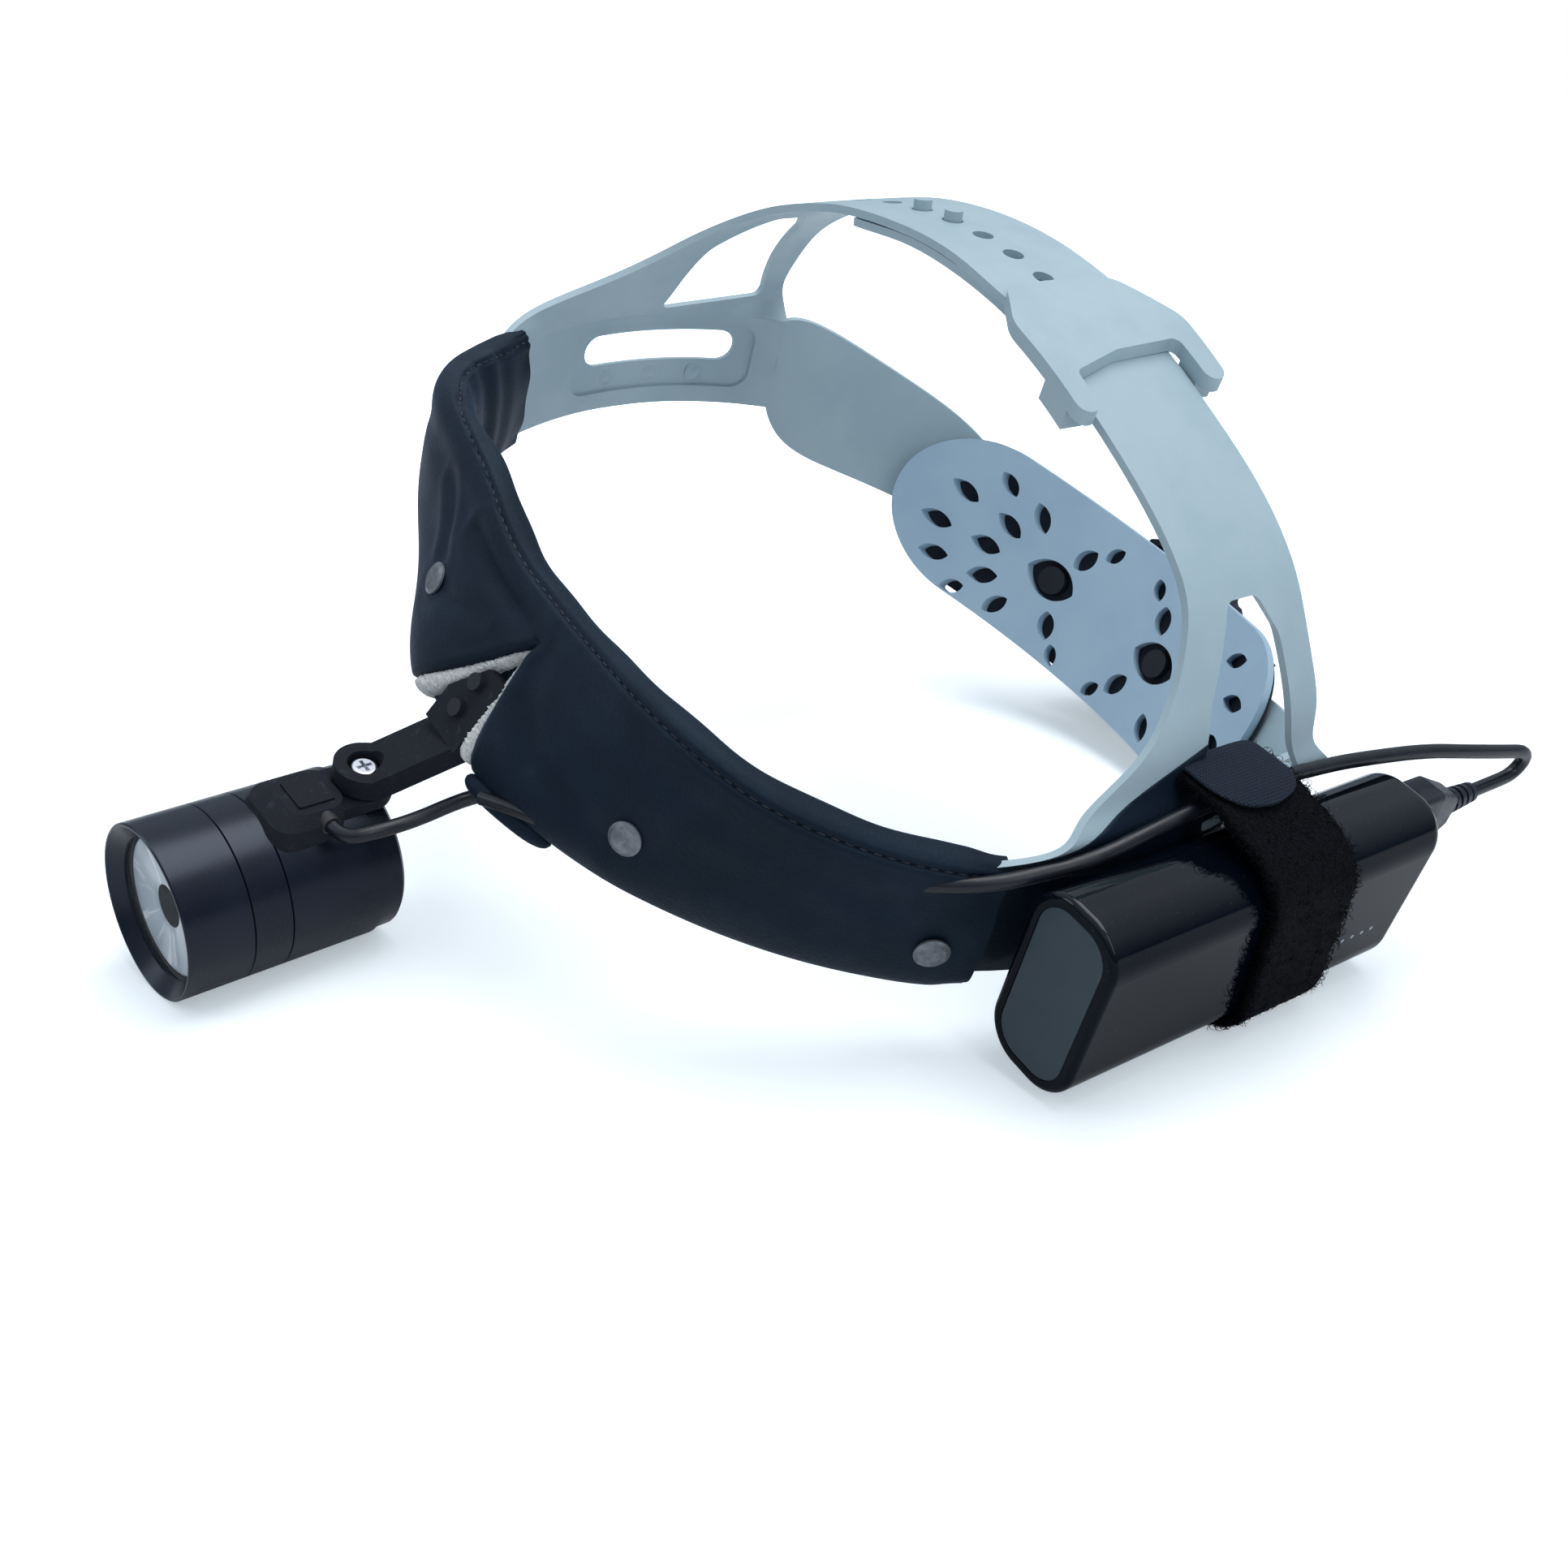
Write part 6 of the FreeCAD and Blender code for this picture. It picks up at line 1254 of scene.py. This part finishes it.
# %% Finish every solid
FINISHES = [
    (grey_plastic, "headband crown_strap_right crown_strap_left rear_band_right rear_band_left"),
    (nape_plastic, "nape_pad"),
    (black_plastic, "ratchet_housing ratchet_cover ratchet_pinion ratchet_knob arm_screws arm_nuts "
                    "optic_holder cell_tray button_switch"),
    (layered_plastic, "lamp_bracket bracket_lid lamp_arm swivel_washer"),
    (anodised_black, "lamp_bezel lamp_housing lamp_tail_cap"),
    (bare_aluminium, "heat_sink"), (white_board, "led_board"), (phosphor, "led"),
    (green_board, "driver_board bank_board"), (brass, "board_spacers swivel_insert"),
    (steel, "knob_screw swivel_screw"), (spring_steel, "detent_spring"),
    (stud_metal, "snap_caps snap_sockets"), (glass, "lens_window"),
    (seal_rubber, "window_seal tail_seal cable_grommet"), (jacket, "cable_side"),
    (bank_gloss, "bank_shell"), (cap_gloss, "bank_front_cap bank_rear_cap charge_button"),
    (led_clear, "charge_leds"), (cell_wrap, "battery_cells"),
    (stamped, "usb_socket charge_socket usb_plug_shell"),
    (moulded_rubber, "plug_overmould plug_relief"),
]
dressed = 0
for finish, names in FINISHES:
    for name in names.split():
        mesh = nodes[name].data
        mesh.materials.clear()
        mesh.materials.append(finish)
        dressed += 1
print("solids with a finish:", dressed)

# %% [markdown]
# ## The rear bands give
#
# When the nape pad is drawn forward the ends of the rear bands go with it and their
# middles bend. A copy of each band is joined up and cut fine enough to bend.


# %% Rear bands cut fine enough to bend
def bending_copy(name, source, longest):
    """A merged copy whose edges are halved until none is longer than so many metres."""
    work = bmesh.new()
    work.from_mesh(nodes[source].data)
    bmesh.ops.remove_doubles(work, verts=work.verts, dist=1e-6)
    bmesh.ops.triangulate(work, faces=work.faces)
    for _ in range(5):
        long = [edge for edge in work.edges if edge.calc_length() > longest]
        if long:
            bmesh.ops.subdivide_edges(work, edges=long, cuts=1)
            bmesh.ops.triangulate(work, faces=work.faces)
    return show(work, bpy.data.meshes.new(name), 35.0)


BEND_LONGEST, BEND_START, BEND_END = 0.006, 60.0, 100.0
for side in ("right", "left"):
    band = bending_copy("bending_band_" + side, "rear_band_" + side, BEND_LONGEST)
    band.data.materials.clear()
    band.data.materials.append(grey_plastic)
    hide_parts("rear_band_" + side)
    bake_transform(band)

# %% [markdown]
# ## Black sheets: painted shade behind the vents, dark faces beside the bank
#
# The nape pad's vents are painted dark: a thin black sheet lies against its back. It
# stands in for the shade in the vents and for the black housing behind them. The pad
# is part of a ring about the nape's bend, and the sheet is the same ring a little
# further out: a thin sheet with a stadium's outline, bent round the radius.

# %% Black sheet behind the nape pad: painted shade in its vents
NAPE_LEAN, NAPE_ROLL, NAPE_BEND = math.radians(-24.6), math.radians(-3.0), 100.0
NAPE_SPOT = np.array([-1.0, 112.09, -20.0])
NAPE_TURN = about_x(NAPE_LEAN) @ about_y(NAPE_ROLL)
VENT_SHEET_COLUMNS, VENT_SHEET_ROWS, VENT_SHEET_NEAR, VENT_SHEET_FAR = 90, 9, 1.62, 2.02


def behind_nape(x, z, out):
    """Bend a flat place round the nape: the angle's sine is x over the bend."""
    turn, far = np.arcsin(np.clip(x / NAPE_BEND, -1, 1)), NAPE_BEND + out
    spot = np.stack([far * np.sin(turn), far * np.cos(turn) - NAPE_BEND, z], -1)
    return spot @ NAPE_TURN.T + NAPE_SPOT


def vent_shade_sheet():
    """Columns along the pad: up its near face and down its far one, as high as a stadium there."""
    x = -1.0 + 67.0 * np.sin(np.linspace(-np.pi / 2, np.pi / 2, VENT_SHEET_COLUMNS))[:, None]
    half = 0.6 + np.sqrt(21.0 ** 2 - np.clip(np.abs(x + 1.0) - 46.0, 0, 21.0) ** 2)
    share = np.linspace(-1, 1, VENT_SHEET_ROWS)[None, :]
    near = behind_nape(x + 0 * share, half * share, VENT_SHEET_NEAR)
    far = behind_nape(x + 0 * share, half * share[:, ::-1], VENT_SHEET_FAR)
    grid = close_ends(np.concatenate([near, far], 1))
    faces = grid_faces(len(grid), grid.shape[1], round_columns=True)
    return make_mesh("nape_vent_shade", settle(grid), faces, join=1e-7)


# painted shade: a near-black sheet that darkens the nape pad's vents
vent_shade_black = simple("vent_shade_black", (0.004, 0.007, 0.016), (0.009, 0.015, 0.030), 0.85, 0.0,
                     800.0, 0.0001)
dress(vent_shade_sheet(), vent_shade_black, body="nape")

# %% [markdown]
# Beside the power bank the headband and the root of the crown strap are covered with a
# thin black sheet, which makes them dark there. A narrow sheet lies in the notch too,
# and makes the headband dark there. Both follow the solids' own faces: a merged copy is
# cut by planes, the faces that look one way are kept, and a tenth or two of a millimetre
# is added.


# %% Thin black sheets on the solids' own faces
def dark_sheet_over(name, sources, planes, facing, gap, thick):
    """Copy nodes, cut by planes (point, direction kept), keep faces that look one way, lift them."""
    work = bmesh.new()
    for source in sources:
        work.from_mesh(nodes[source].data)
    bmesh.ops.remove_doubles(work, verts=work.verts, dist=1e-6)
    for spot, way in planes:
        bmesh.ops.bisect_plane(work, geom=work.verts[:] + work.edges[:] + work.faces[:], dist=1e-7,
                               plane_co=tuple(settle(spot)), clear_inner=True,
                               plane_no=tuple(TURN @ np.array(way, float)))
    look = TURN @ np.array(facing, float)
    wrong = [face for face in work.faces if np.dot(face.normal, look) < 0.55]
    bmesh.ops.delete(work, geom=wrong, context="FACES")
    for vertex in work.verts:
        vertex.co += vertex.normal * gap
    piece = show(work, bpy.data.meshes.new(name))
    solid = piece.modifiers.new("thick", "SOLIDIFY")
    solid.thickness, solid.offset = thick, 1.0
    return piece


side_sheet_planes = [([0, -36.0, 0], [0, 1, 0]), ([0, 20.0, 0], [0, -1, 0]), ([85.0, 0, 0], [1, 0, 0]),
               ([107.0, -36.0, 30.0], [0, 0.30, -1])]
# a thin black sheet that makes the headband and crown strap dark beside the bank
tape = dark_sheet_over("side_dark_sheet", ("headband", "crown_strap_left"), side_sheet_planes, [1, 0, 0], 0.00005,
                 0.00018)
dress(tape, sweatband_skin)
brow_planes = [([-19.0, 0, 0], [1, 0, 0]), ([24.0, 0, 0], [-1, 0, 0])]
# a narrow black sheet that makes the headband dark in the notch
brow_dark_sheet = dark_sheet_over("brow_dark_sheet", ("headband",), brow_planes, [0, -0.83, 0.56], 0.00003, 0.00008)
dress(brow_dark_sheet, sweatband_skin)

# %% [markdown]
# ## Floor and light
#
# The lamp stands on white with a soft bluish shadow. To the camera, the floor adds a
# little light of its own so that it runs into the white beyond, and keeps the shadow.
# For light that falls on the object, floor and world stay at a plain level.


# %% Floor
def floor_finish():
    """Diffuse white, plus a little bluish glow for the camera and in glass."""
    made = Finish("floor", (0.84, 0.86, 0.88), 0.95, Specular_IOR_Level=0.0)
    rays = made.tree.nodes.new("ShaderNodeLightPath").outputs
    seen = Amount(made, rays["Is Camera Ray"]) + Amount(made, rays["Is Transmission Ray"])
    beside, behind, _ = made.parts(made.place())
    far = ((beside * beside + behind * behind) ** 0.5).ramp(0.28, 0.55)
    made.feed(Emission_Color=(0.84, 0.94, 1.0), Emission_Strength=seen * (far * 0.9 + 0.42))
    return made.material


FLOOR_HALF = 4.0
floor_corners = FLOOR_HALF * np.array([[-1, -1, 0], [1, -1, 0], [1, 1, 0], [-1, 1, 0]])
floor = make_mesh("floor", floor_corners, [[0, 1, 2, 3]])
floor.data.materials.append(floor_finish())

# %% [markdown]
# What gloss reflects is a sky that grows lighter upwards; everything else gets one
# plain level, and the camera sees white.

# %% World
world = bpy.data.worlds.new("studio")
bpy.context.scene.world = world
world.use_nodes = True
sky = world.node_tree
shade = sky.nodes["Background"]
path = sky.nodes.new("ShaderNodeLightPath")
coordinates = sky.nodes.new("ShaderNodeTexCoord")
height = sky.nodes.new("ShaderNodeSeparateXYZ")
ramp = sky.nodes.new("ShaderNodeValToRGB")
for stop, position, colour in zip(ramp.color_ramp.elements, (0.0, 0.9),
                                  ((0.11, 0.17, 0.25, 1), (0.85, 0.92, 1.0, 1))):
    stop.position, stop.color = position, colour
plain, white = sky.nodes.new("ShaderNodeMix"), sky.nodes.new("ShaderNodeMix")
plain.data_type = white.data_type = "RGBA"
plain.inputs[6].default_value = (0.44, 0.49, 0.55, 1)
white.inputs[7].default_value = (1, 1, 1, 1)
for source, target in ((coordinates.outputs["Generated"], height.inputs[0]),
                       (height.outputs["Z"], ramp.inputs[0]),
                       (path.outputs["Is Glossy Ray"], plain.inputs[0]),
                       (ramp.outputs[0], plain.inputs[7]),
                       (path.outputs["Is Camera Ray"], white.inputs[0]),
                       (plain.outputs[2], white.inputs[6]),
                       (white.outputs[2], shade.inputs["Color"])):
    sky.links.new(source, target)
shade.inputs["Strength"].default_value = 1.0


# %% Lamps
def area_light(name, spot, target, wide, tall, power, colour):
    """A rectangle of light at a spot, its -Z towards the target."""
    data = bpy.data.lights.new(name, "AREA")
    data.shape = "RECTANGLE"
    data.size, data.size_y, data.energy, data.color = wide, tall, power, colour
    lamp = bpy.data.objects.new(name, data)
    bpy.context.collection.objects.link(lamp)
    back = unit(np.array(spot, float) - np.array(target, float))
    right = unit(np.cross([0.0, 0.02, 1.0], back))
    stand = np.eye(4)
    stand[:3, :3] = np.stack([right, np.cross(back, right), back], 1)
    stand[:3, 3] = spot
    lamp.matrix_world = Matrix(stand.tolist())
    return lamp


area_light("overhead", (0.1, 0.25, 1.3), (0.0, 0.0, 0.0), 1.1, 0.8, 11.0, (1.0, 1.0, 1.0))
area_light("window", (1.2, -0.1, 0.9), (0.05, 0.0, 0.05), 0.30, 1.1, 3.2, (0.95, 0.98, 1.0))
area_light("brow", (-0.7, -1.1, 0.8), (0.0, -0.1, 0.05), 0.5, 0.5, 2.2, (0.92, 0.96, 1.0))
bpy.context.scene.view_settings.view_transform = "Standard"
